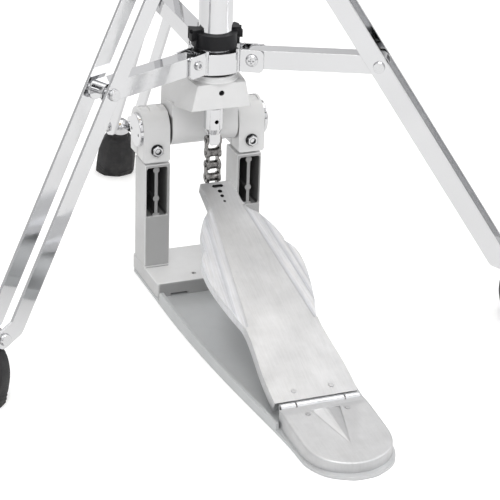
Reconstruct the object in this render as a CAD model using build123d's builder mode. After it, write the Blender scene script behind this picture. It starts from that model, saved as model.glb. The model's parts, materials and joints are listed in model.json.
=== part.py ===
from build123d import *
import os
from math import atan2, cos, degrees, hypot, radians, sin

os.makedirs("parts", exist_ok=True)

# ---------------------------------------------------------------------------
# Hi-hat stand with its two cymbals, in millimetres.
# Origin on the floor under the tube axis, +Z up, +X to the player's right.
# The pedal's heel points to -Y, which is called the front; +Y is the back.
# ---------------------------------------------------------------------------

# --- driving dimensions ----------------------------------------------------
TUBE_R = 15.875              # 1 1/4 inch lower tube
TUBE_WALL = 2.0
TUBE_Z0, TUBE_Z1 = 197.0, 585.0
TUBE_BORE = TUBE_R + 0.05        # pieces clamped round the lower tube
SLIDE_BORE = TUBE_R + 0.06       # pieces that turn or slide on it
UPPER_R = 11.1
UPPER_WALL = 1.5
UPPER_Z0, UPPER_Z1 = 440.0, 800.0
ROD_R = 3.2
ROD_Z0, ROD_TOP = 176.2, 1010.0

DECK_T = 3.0                 # steel base plate
FLANGE_H, FLANGE_W = 14.0, 3.2
UPRIGHT_X0, UPRIGHT_X1 = 34.2, 59.8      # inner and outer faces of the yoke's uprights
UPRIGHT_Y0, UPRIGHT_Y1 = 22.8, 54.0      # front and back faces
UPRIGHT_TOP = 125.0
CROSS_Y0, CROSS_Y1, CROSS_TOP = -15.6, 58.6, 17.5
POCKET_X, POCKET_Z = 47.5, 96.4          # centre of the pocket in an upright

AXLE_Y, AXLE_Z = 38.4, 157.0     # barrel axis, along X
AXLE_R = 9.0
AXLE_BORE = AXLE_R + 0.03
BARREL_R = 18.0
CAP_R = 20.0
CAP_Y, CAP_Z = 42.4, 158.0       # the caps' round crowns are centred a little behind the axle
CAP_BOTTOM = 127.4
CAP_X0, CAP_X1 = 35.0, 61.5
CAP_FRONT = CAP_Y - CAP_R
CAP_BOLT_X, CAP_BOLT_Z = 48.2, 140.0

BOLT_R = 3.0                     # leg bolts and wing screws
SCREW_R, SCREW_HOLE_R = 2.2, 2.3
DECK_HEAD_R = 4.2
RIVET_R, RIVET_HOLE_R, RIVET_HEAD_R = 2.25, 2.3, 3.6

BOARD_A = radians(20.26)         # footboard angle at rest
BOARD_O = (0.0, -268.1, 19.26)   # top of the footboard at its hinge end
BOARD_L = 275.0
BOARD_D = 10.0                   # depth of the footboard's side walls
BOARD_WEB = 5.5
HINGE_Y, HINGE_Z = -275.0, 17.0
HINGE_PIN_R, KNUCKLE_R = 2.5, 4.2
HEEL_Z = 19.3
HEEL_FALL = 0.085                # slope of the heel plate's top

PITCH = 12.7                     # roller chain
CHAIN_Z0 = 154.0                 # top chain pin, at x = y = 0
PIN_R = 1.95

# points in a leg's radial plane: R is the distance from the tube axis
HUB_R, HUB_Z = 36.0, 240.0       # strut to hub pivot
STRUT_R, STRUT_Z = 154.0, 244.6  # strut to leg pivot
LEG_R, LEG_Z = 38.0, 414.7       # leg to collar pivot
BEND_R, BEND_Z = 276.1, 64.2
END_R, END_Z = 291.4, 59.0
FOOT_R = 309.0                   # foot axis meets the floor here
FOOT_DIR = (-0.28559, 0.95835)   # foot axis direction, outward and up
STRIP_W, STRIP_T, STRIP_IN = 17.7, 2.6, 11.3
LEGS = (("back", 90.0), ("right", -30.0), ("left", 210.0))

CYM_R = 178.0                    # 14 inch cymbals
CYM_Z = 820.0                    # underside of the lower cymbal's bell
CYM_T = 1.2
CYM_MID = 864.9                  # mirror plane between the two cymbals


# --- helpers ---------------------------------------------------------------
def save(builder, name):
    builder.part.label = name
    export_step(builder.part, f"parts/{name}.step")


def both(x, y):
    """A point and its mirror image across x = 0."""
    return (x, y), (-x, y)


def discs(radius, *points, mode=Mode.ADD):
    """Equal circles at the given points of the current sketch."""
    with Locations(*points):
        Circle(radius, mode=mode)


def polygon(*points):
    """Polygon with its corners exactly at the given points."""
    Polygon(*points, align=None)


def front_plane(y):
    """Upright plane at y that faces the front: local x = X, local y = Z."""
    return Plane.XZ.offset(-y)


def board_point(x, along, height):
    """Point x across, along from the hinge end and height above the footboard's top."""
    return Vector(x,
                  BOARD_O[1] + along * cos(BOARD_A) - height * sin(BOARD_A),
                  BOARD_O[2] + along * sin(BOARD_A) + height * cos(BOARD_A))


def board_plane(height=0.0):
    """Plane along the footboard: local x across, local y from hinge to tip."""
    return Plane(origin=board_point(0, 0, height), x_dir=(1, 0, 0),
                 z_dir=(0, -sin(BOARD_A), cos(BOARD_A)))


def board_side(x=0.0):
    """Plane across the footboard at x: local x from hinge to tip, local y up."""
    return Plane(origin=(x, BOARD_O[1], BOARD_O[2]),
                 x_dir=(0, cos(BOARD_A), sin(BOARD_A)), z_dir=(1, 0, 0))


def radial(phi, offset_t=0.0):
    """Vertical radial plane at azimuth phi: local x outward, local y up."""
    angle = radians(phi)
    normal = Vector(sin(angle), -cos(angle), 0)
    return Plane(origin=normal * offset_t, x_dir=(cos(angle), sin(angle), 0), z_dir=normal)


def polar_point(radius, phi):
    return radius * cos(radians(phi)), radius * sin(radians(phi))


def ring(name, bottom, height, outer_r, bore_r):
    """Plain ring or tube on the Z axis."""
    with BuildPart() as part:
        with BuildSketch(Plane.XY.offset(bottom)):
            Circle(outer_r)
            Circle(bore_r, mode=Mode.SUBTRACT)
        extrude(amount=height)
    save(part, name)


def turned(name, *profile):
    """Piece turned about Z from a closed (radius, z) profile."""
    with BuildPart() as part:
        with BuildSketch(Plane.XZ):
            polygon(*profile)
        revolve(axis=Axis.Z)
    save(part, name)


# --- base plate: deck with upturned side flanges ---------------------------
DECK_BACK = 56.5
# right-hand edge of the deck (x, y), from the yoke to the heel
DECK_EDGE = ((60.4, -40), (58.5, -114), (52.6, -197), (46.0, -262), (42.0, -305), (41.0, -335))
DECK_HEEL = ((41.0, -335), (37.6, -350), (28.5, -364), (14.5, -372.6), (0, -375.4))
FLANGE_END = (40.5, -290)
FLANGE_INSIDE = [(x - FLANGE_W, y) for x, y in DECK_EDGE[:4]] + [FLANGE_END]
CUT_TOP = 30                     # above everything that is trimmed

CROSS_SCREWS = both(-17.7, -2.6)
HEEL_SCREWS = both(-24, -338)
UPRIGHT_SCREWS = both(-POCKET_X, AXLE_Y)
DECK_SCREWS = CROSS_SCREWS + HEEL_SCREWS + UPRIGHT_SCREWS

with BuildPart() as base_plate:
    with BuildSketch():
        with BuildLine():
            Line((0, DECK_BACK), (DECK_EDGE[0][0], DECK_BACK))
            Line((DECK_EDGE[0][0], DECK_BACK), DECK_EDGE[0])
            Spline(*DECK_EDGE, tangents=((0, -1), (0, -1)))
            Spline(*DECK_HEEL, tangents=((0, -1), (-1, 0)))
            mirror(about=Plane.YZ)
        make_face()
    extrude(amount=FLANGE_H)
    # everything above the deck goes, except the flange along each side
    with BuildSketch(Plane.XY.offset(DECK_T)):
        with BuildLine():
            Line((0, -20), (FLANGE_INSIDE[0][0], -20))
            Line((FLANGE_INSIDE[0][0], -20), FLANGE_INSIDE[0])
            Spline(*FLANGE_INSIDE, tangents=((0, -1), (-0.09, -1)))
            Line(FLANGE_END, (0, FLANGE_END[1]))
            mirror(about=Plane.YZ)
        make_face()
    extrude(amount=20, mode=Mode.SUBTRACT)
    # trim behind and ahead of the flanges, and slope their tops down to the heel
    with BuildSketch(Plane.YZ.offset(-70)):
        polygon((-24, DECK_T), (80, DECK_T), (80, CUT_TOP), (-24, CUT_TOP))
        polygon((-284, DECK_T), (-400, DECK_T), (-400, CUT_TOP), (-284, CUT_TOP))
        polygon((-20, CUT_TOP), (-20, 14.2), (-300, 8.8), (-300, CUT_TOP))
    extrude(amount=140, mode=Mode.SUBTRACT)
    # rounded start of each flange beside the crosspiece
    with BuildSketch(Plane.YZ.offset(-70)):
        with Locations((-27, 11)):
            Rectangle(6.2, 8)
        discs(6.2, (-30, 8), mode=Mode.SUBTRACT)
    extrude(amount=140, mode=Mode.SUBTRACT)
    # screw holes, countersunk from below; the turned plane flips y
    with Locations(Plane.XY.rotated((180, 0, 0))):
        with Locations(*[(x, -y) for x, y in DECK_SCREWS]):
            CounterSinkHole(radius=SCREW_HOLE_R, counter_sink_radius=4.4, depth=20)
    chamfer(base_plate.edges().filter_by(Axis.Z).group_by(Axis.Y)[-1], 3.0)
save(base_plate, "base_plate")

# --- yoke: crosspiece and two pocketed uprights, one casting ---------------
UPRIGHT_W = UPRIGHT_X1 - UPRIGHT_X0
UPRIGHT_D = UPRIGHT_Y1 - UPRIGHT_Y0
POCKET_W, POCKET_H, POCKET_CORNER = 21.4, 51.4, 2.4
YOKE_EDGE_R = 1.2

with BuildPart() as yoke:
    with BuildSketch(Plane.XY.offset(DECK_T)):
        with Locations((0, (CROSS_Y0 + CROSS_Y1) / 2)):
            Rectangle(2 * UPRIGHT_X1, CROSS_Y1 - CROSS_Y0)
    extrude(amount=CROSS_TOP - DECK_T)
    fillet(yoke.edges().filter_by(Axis.Z).group_by(Axis.Y)[0], 4.5)
    fillet(yoke.edges().filter_by(Axis.Z).group_by(Axis.Y)[-1], 2.0)
    fillet(yoke.faces().sort_by(Axis.Z)[-1].edges(), YOKE_EDGE_R)
    # uprights, rooted inside the crosspiece
    with BuildSketch(Plane.XY.offset(8)):
        with Locations(*both((UPRIGHT_X0 + UPRIGHT_X1) / 2, (UPRIGHT_Y0 + UPRIGHT_Y1) / 2)):
            RectangleRounded(UPRIGHT_W, UPRIGHT_D, 1.6)
    extrude(amount=UPRIGHT_TOP - 8)
    upright_tops = yoke.faces().filter_by(Axis.Z).filter_by(
        lambda f: abs(f.center().Z - UPRIGHT_TOP) < 0.1)
    fillet(upright_tops.edges(), YOKE_EDGE_R)
    # necks that carry the bearing caps
    with BuildSketch(Plane.XY.offset(UPRIGHT_TOP - 1)):
        with Locations(*both(CAP_BOLT_X, 41.0)):
            Rectangle(20.5, 22)
    extrude(amount=CAP_BOTTOM - 0.05 - (UPRIGHT_TOP - 1))
    # light reinforcing steps at the feet of the uprights
    with BuildSketch(Plane.XY.offset(CROSS_TOP - 1)):
        with Locations(*both(POCKET_X, AXLE_Y)):
            RectangleRounded(UPRIGHT_W, UPRIGHT_D + 4, 2.0)
    extrude(amount=2.2)
    # front pockets: a shallow recess, then deep all round a rib, two bosses and a bar
    with BuildSketch(front_plane(UPRIGHT_Y0)):
        with Locations(*both(POCKET_X, POCKET_Z)):
            RectangleRounded(POCKET_W, POCKET_H, POCKET_CORNER)
    extrude(amount=-3.0, mode=Mode.SUBTRACT)
    with BuildSketch(front_plane(UPRIGHT_Y0)):
        with Locations(*both(POCKET_X, POCKET_Z)):
            RectangleRounded(POCKET_W, POCKET_H, POCKET_CORNER)
        for rib_x in (POCKET_X, -POCKET_X):
            with Locations((rib_x, POCKET_Z)):
                Rectangle(3.2, 52, mode=Mode.SUBTRACT)
            discs(3.2, (rib_x, 118.0), (rib_x, 88.5), mode=Mode.SUBTRACT)
            with Locations((rib_x, 71.5)):
                Rectangle(7.0, 3.0, mode=Mode.SUBTRACT)
    extrude(amount=-27.0, mode=Mode.SUBTRACT)
    # slot in the lower front edge, and the screw holes
    with BuildSketch(front_plane(CROSS_Y0)):
        with Locations((-36.9, DECK_T + 1.2)):
            Rectangle(17.6, 3.0)
    extrude(amount=-7.0, mode=Mode.SUBTRACT)
    for screws, hole_depth in ((CROSS_SCREWS, 20), (UPRIGHT_SCREWS, 14)):
        with BuildSketch(Plane.XY.offset(DECK_T)):
            discs(SCREW_HOLE_R, *screws)
        extrude(amount=hole_depth, mode=Mode.SUBTRACT)
save(yoke, "yoke")

# countersunk screws driven up through the deck
DECK_HEAD_Z0, DECK_HEAD_Z1 = 0.15, 2.15
with BuildPart() as deck_screws:
    for point in DECK_SCREWS:
        with BuildSketch(Plane.XY.offset(DECK_HEAD_Z0)):
            discs(DECK_HEAD_R, point)
        with BuildSketch(Plane.XY.offset(DECK_HEAD_Z1)):
            discs(SCREW_R, point)
        loft()
        with BuildSketch(Plane.XY.offset(DECK_HEAD_Z1)):
            discs(SCREW_R, point)
        extrude(amount=10.5)
save(deck_screws, "deck_screws")

# --- bearing caps over the barrel ends -------------------------------------
NOTCH_DEPTH = 1.2
# x extents of the notches
NOTCHES = ((34.9, 41.8), (51.3, 59.2), (-41.8, -34.9), (-59.2, -51.3))

with BuildPart() as bearing_caps:
    for side in (-1, 1):
        with BuildSketch(Plane.YZ.offset(min(side * CAP_X0, side * CAP_X1))):
            discs(CAP_R, (CAP_Y, CAP_Z))
            with Locations((CAP_Y, (CAP_Z + CAP_BOTTOM) / 2)):
                Rectangle(2 * CAP_R, CAP_Z - CAP_BOTTOM)
        extrude(amount=CAP_X1 - CAP_X0)
    bottom_edges = bearing_caps.edges().filter_by(Axis.Y).filter_by(
        lambda e: abs(e.center().Z - CAP_BOTTOM) < 0.1)
    chamfer(bottom_edges, 1.8)
    with BuildSketch(Plane.YZ.offset(-70)):
        discs(AXLE_BORE, (AXLE_Y, AXLE_Z))
    extrude(amount=140, mode=Mode.SUBTRACT)
    # index notches in the crowns
    for notch_x0, notch_x1 in NOTCHES:
        with BuildSketch(Plane.YZ.offset(notch_x0)):
            with Locations((CAP_Y, CAP_Z)):
                Circle(CAP_R + 1)
                Circle(CAP_R - NOTCH_DEPTH, mode=Mode.SUBTRACT)
            with Locations((CAP_Y + 0.7, CAP_Z + 15)):
                Rectangle(18.6, 16, mode=Mode.INTERSECT)
        extrude(amount=notch_x1 - notch_x0, mode=Mode.SUBTRACT)
    # clamp slits from the bore down, so the bolts can pinch the axle
    with BuildSketch(Plane.YZ.offset(-70)):
        with Locations((CAP_Y, 138)):
            Rectangle(1.4, 26)
    extrude(amount=140, mode=Mode.SUBTRACT)
    # clamp bolt holes
    with BuildSketch(front_plane(10)):
        discs(3.1, *both(CAP_BOLT_X, CAP_BOLT_Z))
    extrude(amount=-60, mode=Mode.SUBTRACT)
save(bearing_caps, "bearing_caps")

CAP_BOLT_GAP = 0.02
with BuildPart() as cap_bolts:
    for bolt in both(CAP_BOLT_X, CAP_BOLT_Z):
        # washer, hexagon head, then the shank to the back
        with BuildSketch(front_plane(CAP_FRONT - CAP_BOLT_GAP)):
            discs(6.1, bolt)
        extrude(amount=1.0)
        with BuildSketch(front_plane(CAP_FRONT - 1.0)):
            with Locations(bolt):
                RegularPolygon(5.0, 6, major_radius=False, rotation=30)
        extrude(amount=3.6)
        with BuildSketch(front_plane(CAP_FRONT - CAP_BOLT_GAP)):
            discs(3.0, bolt)
        extrude(amount=-32)
    head_faces = cap_bolts.faces().filter_by(Axis.Y).filter_by(
        lambda f: f.center().Y < CAP_FRONT - 4.4)
    chamfer(head_faces.edges(), 0.7)
    # round recess in each head
    with BuildSketch(front_plane(CAP_FRONT - 5.4)):
        discs(2.7, *both(CAP_BOLT_X, CAP_BOLT_Z))
    extrude(amount=-2.6, mode=Mode.SUBTRACT)
save(cap_bolts, "cap_bolts")

AXLE_HALF = 61.3
with BuildPart() as pivot_axle:
    with BuildSketch(Plane.YZ.offset(-AXLE_HALF)):
        discs(AXLE_R, (AXLE_Y, AXLE_Z))
    extrude(amount=2 * AXLE_HALF)
save(pivot_axle, "pivot_axle")

END_DISC_X0 = CAP_X1 + 0.1
END_DISC_T = 3.6
with BuildPart() as axle_end_discs:
    for side in (-1, 1):
        with BuildSketch(Plane.YZ.offset(min(side * END_DISC_X0,
                                             side * (END_DISC_X0 + END_DISC_T)))):
            discs(16.4, (AXLE_Y, AXLE_Z))
            discs(1.5, (AXLE_Y - 10, AXLE_Z - 2), (AXLE_Y + 10, AXLE_Z - 2), mode=Mode.SUBTRACT)
        extrude(amount=END_DISC_T)
    outer_rims = axle_end_discs.edges().filter_by(GeomType.CIRCLE).filter_by(
        lambda e: e.radius > 15 and abs(e.center().X) > 62)
    fillet(outer_rims, 1.2)
save(axle_end_discs, "axle_end_discs")

# --- column block with its barrel ------------------------------------------
BLOCK_TOP = 217.4
BLOCK_FRONT, BLOCK_BACK = -20.0, 55.0
BARREL_HALF = 33.8
SET_SCREW = (0, 208.1)           # x, z
SET_SCREW_R = 2.5

with BuildPart() as column_block:
    with BuildSketch(front_plane(BLOCK_FRONT)):
        polygon((-29.3, 192.5), (29.3, 192.5), (23.8, BLOCK_TOP), (-23.8, BLOCK_TOP))
    with BuildSketch(front_plane(BLOCK_BACK)):
        polygon((-34.0, 176.0), (34.0, 176.0), (32.6, BLOCK_TOP), (-32.6, BLOCK_TOP))
    loft()
    front_sides = column_block.edges().filter_by(
        lambda e: e.center().Y < -19.9 and abs(e.center().X) > 20)
    fillet(front_sides, 1.4)
    # barrel, and the web that joins it to the block
    with BuildSketch(Plane.YZ.offset(-BARREL_HALF)):
        discs(BARREL_R, (AXLE_Y, AXLE_Z))
        polygon((23.4, 187.0), (20.4, 157), (56.4, 157), (55, 180))
    extrude(amount=2 * BARREL_HALF)
    with BuildSketch(Plane.YZ.offset(-40)):
        discs(AXLE_BORE, (AXLE_Y, AXLE_Z))
    extrude(amount=80, mode=Mode.SUBTRACT)
    # tube socket, rod passage and set screw hole
    with BuildSketch(Plane.XY.offset(TUBE_Z0)):
        Circle(TUBE_R + 0.02)
    extrude(amount=40, mode=Mode.SUBTRACT)
    with BuildSketch(Plane.XY.offset(170)):
        Circle(9.7)
    extrude(amount=60, mode=Mode.SUBTRACT)
    with BuildSketch(front_plane(-25)):
        discs(SET_SCREW_R + 0.1, SET_SCREW)
    extrude(amount=-12, mode=Mode.SUBTRACT)
save(column_block, "column_block")

# set screw: a layer with the hexagon socket, then a solid layer behind it
with BuildPart() as block_set_screw:
    with BuildSketch(front_plane(-17.3)):
        with Locations(SET_SCREW):
            Circle(SET_SCREW_R)
            RegularPolygon(1.4, 6, mode=Mode.SUBTRACT)
    extrude(amount=-0.8)
    with BuildSketch(front_plane(-16.5)):
        discs(SET_SCREW_R, SET_SCREW)
    extrude(amount=-0.6)
save(block_set_screw, "block_set_screw")

ring("lower_tube", TUBE_Z0, TUBE_Z1 - TUBE_Z0, TUBE_R, TUBE_R - TUBE_WALL)

turned("tube_flange",
       (TUBE_BORE, 217.5), (22.6, 217.5), (22.6, 219.6), (20.8, 221.2), (20.2, 223.4),
       (TUBE_BORE, 223.4))

ring("hub_washer", bottom=223.5, height=3.2, outer_r=18.8, bore_r=TUBE_BORE)

# --- swivelling leg hub -----------------------------------------------------
HUB_Z0, HUB_Z1 = 226.9, 246.9
HUB_OUTER_R = 25.6
EAR_T = 2.0
EAR_IN = 8.3                     # inner face of an ear, from the radial plane
EAR_MID = EAR_IN + EAR_T / 2
EAR_OUT = EAR_IN + EAR_T
CREASE_RING_R, CREASE_R = 26.05, 1.35
CREASE_ANGLE = 36.0              # each side of the direction opposite a leg


def hub_outline():
    """Circle trimmed to a shallower arc opposite each leg."""
    Circle(HUB_OUTER_R)
    for _, leg_phi in LEGS:
        discs(40.0, polar_point(16.6, leg_phi), mode=Mode.INTERSECT)


def is_ear_corner(v):
    """Sketch corner where an ear's outer face leaves the hub."""
    across = min(abs(v.X * sin(radians(p)) - v.Y * cos(radians(p))) for _, p in LEGS)
    return abs(hypot(v.X, v.Y) - 25.5) < 0.4 and abs(across - EAR_OUT) < 0.1


with BuildPart() as leg_hub:
    with BuildSketch(Plane.XY.offset(HUB_Z0)):
        hub_outline()
    extrude(amount=HUB_Z1 - HUB_Z0)
    # the same section with the roots of the ears and a rounded bend at each
    with BuildSketch(Plane.XY.offset(229.2)) as ear_roots:
        hub_outline()
        for _, phi in LEGS:
            across_x, across_y = sin(radians(phi)), -cos(radians(phi))
            root_x, root_y = polar_point(24, phi)
            for ear_t in (EAR_MID, -EAR_MID):
                with Locations(Location((root_x + across_x * ear_t,
                                         root_y + across_y * ear_t, 0), (0, 0, phi))):
                    Rectangle(14.0, EAR_T)
        fillet(ear_roots.vertices().filter_by(is_ear_corner), 3.0)
    extrude(amount=17.7)
    for _, phi in LEGS:
        for ear_t in (EAR_IN, -EAR_OUT):
            with BuildSketch(radial(phi, ear_t)):
                with Locations((31.5, 239.0)):
                    RectangleRounded(31.0, 21.4, 4.5)
            extrude(amount=EAR_T)
    # tube bore, and clear space above the hub between the ears
    with BuildSketch(Plane.XY.offset(220)):
        Circle(SLIDE_BORE)
    extrude(amount=40, mode=Mode.SUBTRACT)
    with BuildSketch(Plane.XY.offset(HUB_Z1)):
        Circle(23.6)
    extrude(amount=10, mode=Mode.SUBTRACT)
    # crease line pressed into the root of each ear
    with BuildSketch(Plane.XY.offset(220)):
        for _, phi in LEGS:
            for turn in (180 - CREASE_ANGLE, 180 + CREASE_ANGLE):
                discs(CREASE_R, polar_point(CREASE_RING_R, phi + turn))
    extrude(amount=40, mode=Mode.SUBTRACT)
    for _, phi in LEGS:
        with BuildSketch(radial(phi, -30)):
            discs(BOLT_R + 0.02, (HUB_R, HUB_Z))
        extrude(amount=60, mode=Mode.SUBTRACT)
save(leg_hub, "leg_hub")

HUB_HEAD_T = EAR_OUT + 0.1       # seat of head and nut, from the radial plane
HUB_HEAD_R = 5.8
HUB_PIVOT = (HUB_R, HUB_Z)
with BuildPart() as hub_bolts:
    for _, phi in LEGS:
        with BuildSketch(radial(phi, -HUB_HEAD_T)):
            discs(BOLT_R, HUB_PIVOT)
        extrude(amount=2 * HUB_HEAD_T)
        # domed head with a cross recess on one side
        with BuildSketch(radial(phi, HUB_HEAD_T)):
            discs(HUB_HEAD_R, HUB_PIVOT)
        extrude(amount=1.0)
        with BuildSketch(radial(phi, HUB_HEAD_T + 1.0)):
            discs(HUB_HEAD_R, HUB_PIVOT)
        extrude(amount=1.5, taper=50)
        with BuildSketch(radial(phi, HUB_HEAD_T + 2.5)):
            with Locations(HUB_PIVOT):
                Rectangle(5.4, 1.3)
                Rectangle(1.3, 5.4)
        extrude(amount=-1.4, mode=Mode.SUBTRACT)
        # round nut with a hex socket on the other
        with BuildSketch(radial(phi, -HUB_HEAD_T)):
            with Locations(HUB_PIVOT):
                Circle(4.4)
                RegularPolygon(2.0, 6, mode=Mode.SUBTRACT)
        extrude(amount=-2.0, taper=8)
        with BuildSketch(radial(phi, -HUB_HEAD_T)):
            discs(3.6, HUB_PIVOT)
        extrude(amount=-0.7)
save(hub_bolts, "hub_bolts")

# --- height-memory clamp on the tube, above the hub ------------------------
LOCK_Z0 = 249.0
LOCK_LUG_Z0 = 250.2
LOCK_SCREW = (23.5, 256.5)       # y, z
LOCK_SCREW_R = 2.0
LOCK_SCREW_HALF = 8.1


def jaw_section(front_y, outer_r):
    """Left and right sectors of a ring round the tube."""
    polygon((0, 0), (36, 17.5), (36, front_y))
    polygon((0, 0), (-36, front_y), (-36, 17.5))
    Circle(outer_r, mode=Mode.INTERSECT)
    Circle(TUBE_BORE, mode=Mode.SUBTRACT)


with BuildPart() as lock_collar:
    with BuildSketch(Plane.XY.offset(LOCK_Z0)):
        Circle(20.3)
        Circle(TUBE_BORE, mode=Mode.SUBTRACT)
        with Locations((0, 22)):
            Rectangle(5.0, 16, mode=Mode.SUBTRACT)
    extrude(amount=13.8)
    # two raised side jaws, each stepped and with a shallow outer slot
    with BuildSketch(Plane.XY.offset(LOCK_LUG_Z0)):
        jaw_section(front_y=-12.0, outer_r=22.6)
    extrude(amount=7.0)
    with BuildSketch(Plane.XY.offset(255.6)):
        jaw_section(front_y=-7.0, outer_r=25.6)
    extrude(amount=10.0)
    with BuildSketch(Plane.XY.offset(262.8)):
        with Locations(*both(27.4, -6)):
            Rectangle(8.0, 12.0)
    extrude(amount=8, mode=Mode.SUBTRACT)
    with BuildSketch(Plane.XY.offset(LOCK_Z0)):
        with Locations(*both(25.8, 3)):
            Rectangle(3.0, 4.0)
    extrude(amount=20, mode=Mode.SUBTRACT)
    # clamp lugs at the back
    with BuildSketch(Plane.XY.offset(LOCK_LUG_Z0)):
        with Locations(*both(5.25, 22.9)):
            Rectangle(5.5, 7.8)
        Circle(19.0, mode=Mode.SUBTRACT)
    extrude(amount=12.6)
    with BuildSketch(Plane.YZ.offset(-30)):
        discs(LOCK_SCREW_R + 0.1, LOCK_SCREW)
    extrude(amount=60, mode=Mode.SUBTRACT)
save(lock_collar, "lock_collar")

# screw across the lugs: shank, hexagon on the right, round end on the left
with BuildPart() as lock_collar_screw:
    with BuildSketch(Plane.YZ.offset(-LOCK_SCREW_HALF)):
        discs(LOCK_SCREW_R, LOCK_SCREW)
    extrude(amount=2 * LOCK_SCREW_HALF)
    with BuildSketch(Plane.YZ.offset(LOCK_SCREW_HALF)):
        with Locations(LOCK_SCREW):
            RegularPolygon(3.2, 6)
    extrude(amount=2.4)
    with BuildSketch(Plane.YZ.offset(-LOCK_SCREW_HALF)):
        discs(3.2, LOCK_SCREW)
    extrude(amount=-2.0)
save(lock_collar_screw, "lock_collar_screw")

# --- leg struts, leg strips, feet ------------------------------------------
STRUT_L = hypot(STRUT_R - HUB_R, STRUT_Z - HUB_Z)
STRUT_A = degrees(atan2(STRUT_Z - HUB_Z, STRUT_R - HUB_R))
STRUT_HALF = 8.0                 # half of the channel's width
STRUT_WALL = 1.8
HEAD_T = STRIP_IN + STRIP_T + 0.2    # seat of the bolt heads, from the radial plane
HEAD_H = 2.8
SLEEVE_T = 3.1
STRUT_PIVOT, LEG_PIVOT, FOOT_BOLT = (STRUT_R, STRUT_Z), (LEG_R, LEG_Z), (END_R, END_Z)

# foot profiles: (distance along the foot axis from the floor, radius)
FERRULE = ((56.1, 0), (56.1, 10.8), (60.0, 10.8), (63.5, 10.0), (66.6, 7.6), (68.6, 4.0),
           (69.2, 0))
BOOT = ((-12, 0), (-12, 21.6), (8, 21.8), (23, 21.4), (31, 20.4), (38, 18.4), (44, 15.9),
        (48.5, 13.2), (50.4, 11.0), (56, 11.0), (56, 0))


def slot_between(start, end, width):
    """Slot outline with its end centres at the two points."""
    (r0, z0), (r1, z1) = start, end
    with Locations(((r0 + r1) / 2, (z0 + z1) / 2)):
        SlotCenterToCenter(hypot(r1 - r0, z1 - z0), width,
                           rotation=degrees(atan2(z1 - z0, r1 - r0)))


def foot_points(profile):
    """A foot profile laid out in the leg's radial plane."""
    return [(FOOT_R + along * FOOT_DIR[0] + radius * FOOT_DIR[1],
             along * FOOT_DIR[1] - radius * FOOT_DIR[0]) for along, radius in profile]


def foot_axis(phi):
    return Axis((*polar_point(FOOT_R, phi), 0), (*polar_point(FOOT_DIR[0], phi), FOOT_DIR[1]))


def make_strut(tag, phi):
    """Channel from hub to leg, open underneath."""
    with BuildPart() as strut:
        with BuildSketch(radial(phi, -STRUT_HALF)):
            slot_between(HUB_PIVOT, STRUT_PIVOT, STRIP_W)
        extrude(amount=2 * STRUT_HALF)
        with BuildSketch(radial(phi, STRUT_WALL - STRUT_HALF)):
            with Locations(((HUB_R + STRUT_R) / 2, (HUB_Z + STRUT_Z) / 2)):
                with Locations(Location((0, -2.2, 0), (0, 0, STRUT_A))):
                    Rectangle(STRUT_L + 30, STRIP_W)
        extrude(amount=2 * (STRUT_HALF - STRUT_WALL), mode=Mode.SUBTRACT)
        with BuildSketch(radial(phi, -20.0)):
            discs(BOLT_R + 0.06, HUB_PIVOT, STRUT_PIVOT)
        extrude(amount=40.0, mode=Mode.SUBTRACT)
    save(strut, f"strut_{tag}")


def make_leg_strips(tag, phi):
    """Pair of flat strips, bent near the foot."""
    with BuildPart() as leg_strips:
        for strip_t in (STRIP_IN, -STRIP_IN - STRIP_T):
            with BuildSketch(radial(phi, strip_t)):
                slot_between(LEG_PIVOT, (BEND_R, BEND_Z), STRIP_W)
                slot_between((BEND_R, BEND_Z), FOOT_BOLT, STRIP_W)
                discs(BOLT_R + 0.03, LEG_PIVOT, FOOT_BOLT, STRUT_PIVOT, mode=Mode.SUBTRACT)
            extrude(amount=STRIP_T)
    save(leg_strips, f"leg_strips_{tag}")


def make_leg_fittings(tag, phi):
    """Bolts, stub screws, sleeves and the ferrule of one leg."""
    with BuildPart() as leg_fittings:
        # strut bolt and foot bolt across both strips
        with BuildSketch(radial(phi, -HEAD_T)):
            discs(BOLT_R, FOOT_BOLT, STRUT_PIVOT)
        extrude(amount=2 * HEAD_T)
        # their heads, and the two stub screws at the top end
        for seat_t, height in ((HEAD_T, HEAD_H), (-HEAD_T, -HEAD_H)):
            with BuildSketch(radial(phi, seat_t)):
                discs(5.6, FOOT_BOLT, LEG_PIVOT, STRUT_PIVOT)
            extrude(amount=height, taper=12)
            with BuildSketch(radial(phi, seat_t)):
                discs(BOLT_R, LEG_PIVOT)
            extrude(amount=-height)
        # spacer sleeves between the strut and the strips
        for sleeve_t in (8.15, -8.15 - SLEEVE_T):
            with BuildSketch(radial(phi, sleeve_t)):
                discs(5.5, STRUT_PIVOT)
            extrude(amount=SLEEVE_T)
        # turned ferrule that carries the rubber foot, between the strips
        with BuildSketch(radial(phi)):
            with BuildLine():
                ferrule = foot_points(FERRULE)
                Polyline(*ferrule[:3])
                Spline(*ferrule[2:], tangents=(FOOT_DIR, (-FOOT_DIR[1], FOOT_DIR[0])))
                Line(ferrule[-1], ferrule[0])
            make_face()
        revolve(axis=foot_axis(phi))
    save(leg_fittings, f"leg_fittings_{tag}")


def make_rubber_foot(tag, phi):
    """Bell-shaped boot turned about the tilted foot axis, flat on the floor."""
    with BuildPart() as rubber_foot:
        with BuildSketch(radial(phi)):
            with BuildLine():
                boot = foot_points(BOOT)
                Polyline(*boot[:3])
                Spline(*boot[2:8])
                Polyline(*boot[7:], boot[0])
            make_face()
        revolve(axis=foot_axis(phi))
        # cut away what lies below the floor
        with BuildSketch(Plane.XY):
            with Locations(polar_point(FOOT_R, phi)):
                Rectangle(90, 90)
        extrude(amount=-20, mode=Mode.SUBTRACT)
    save(rubber_foot, f"rubber_foot_{tag}")


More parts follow.
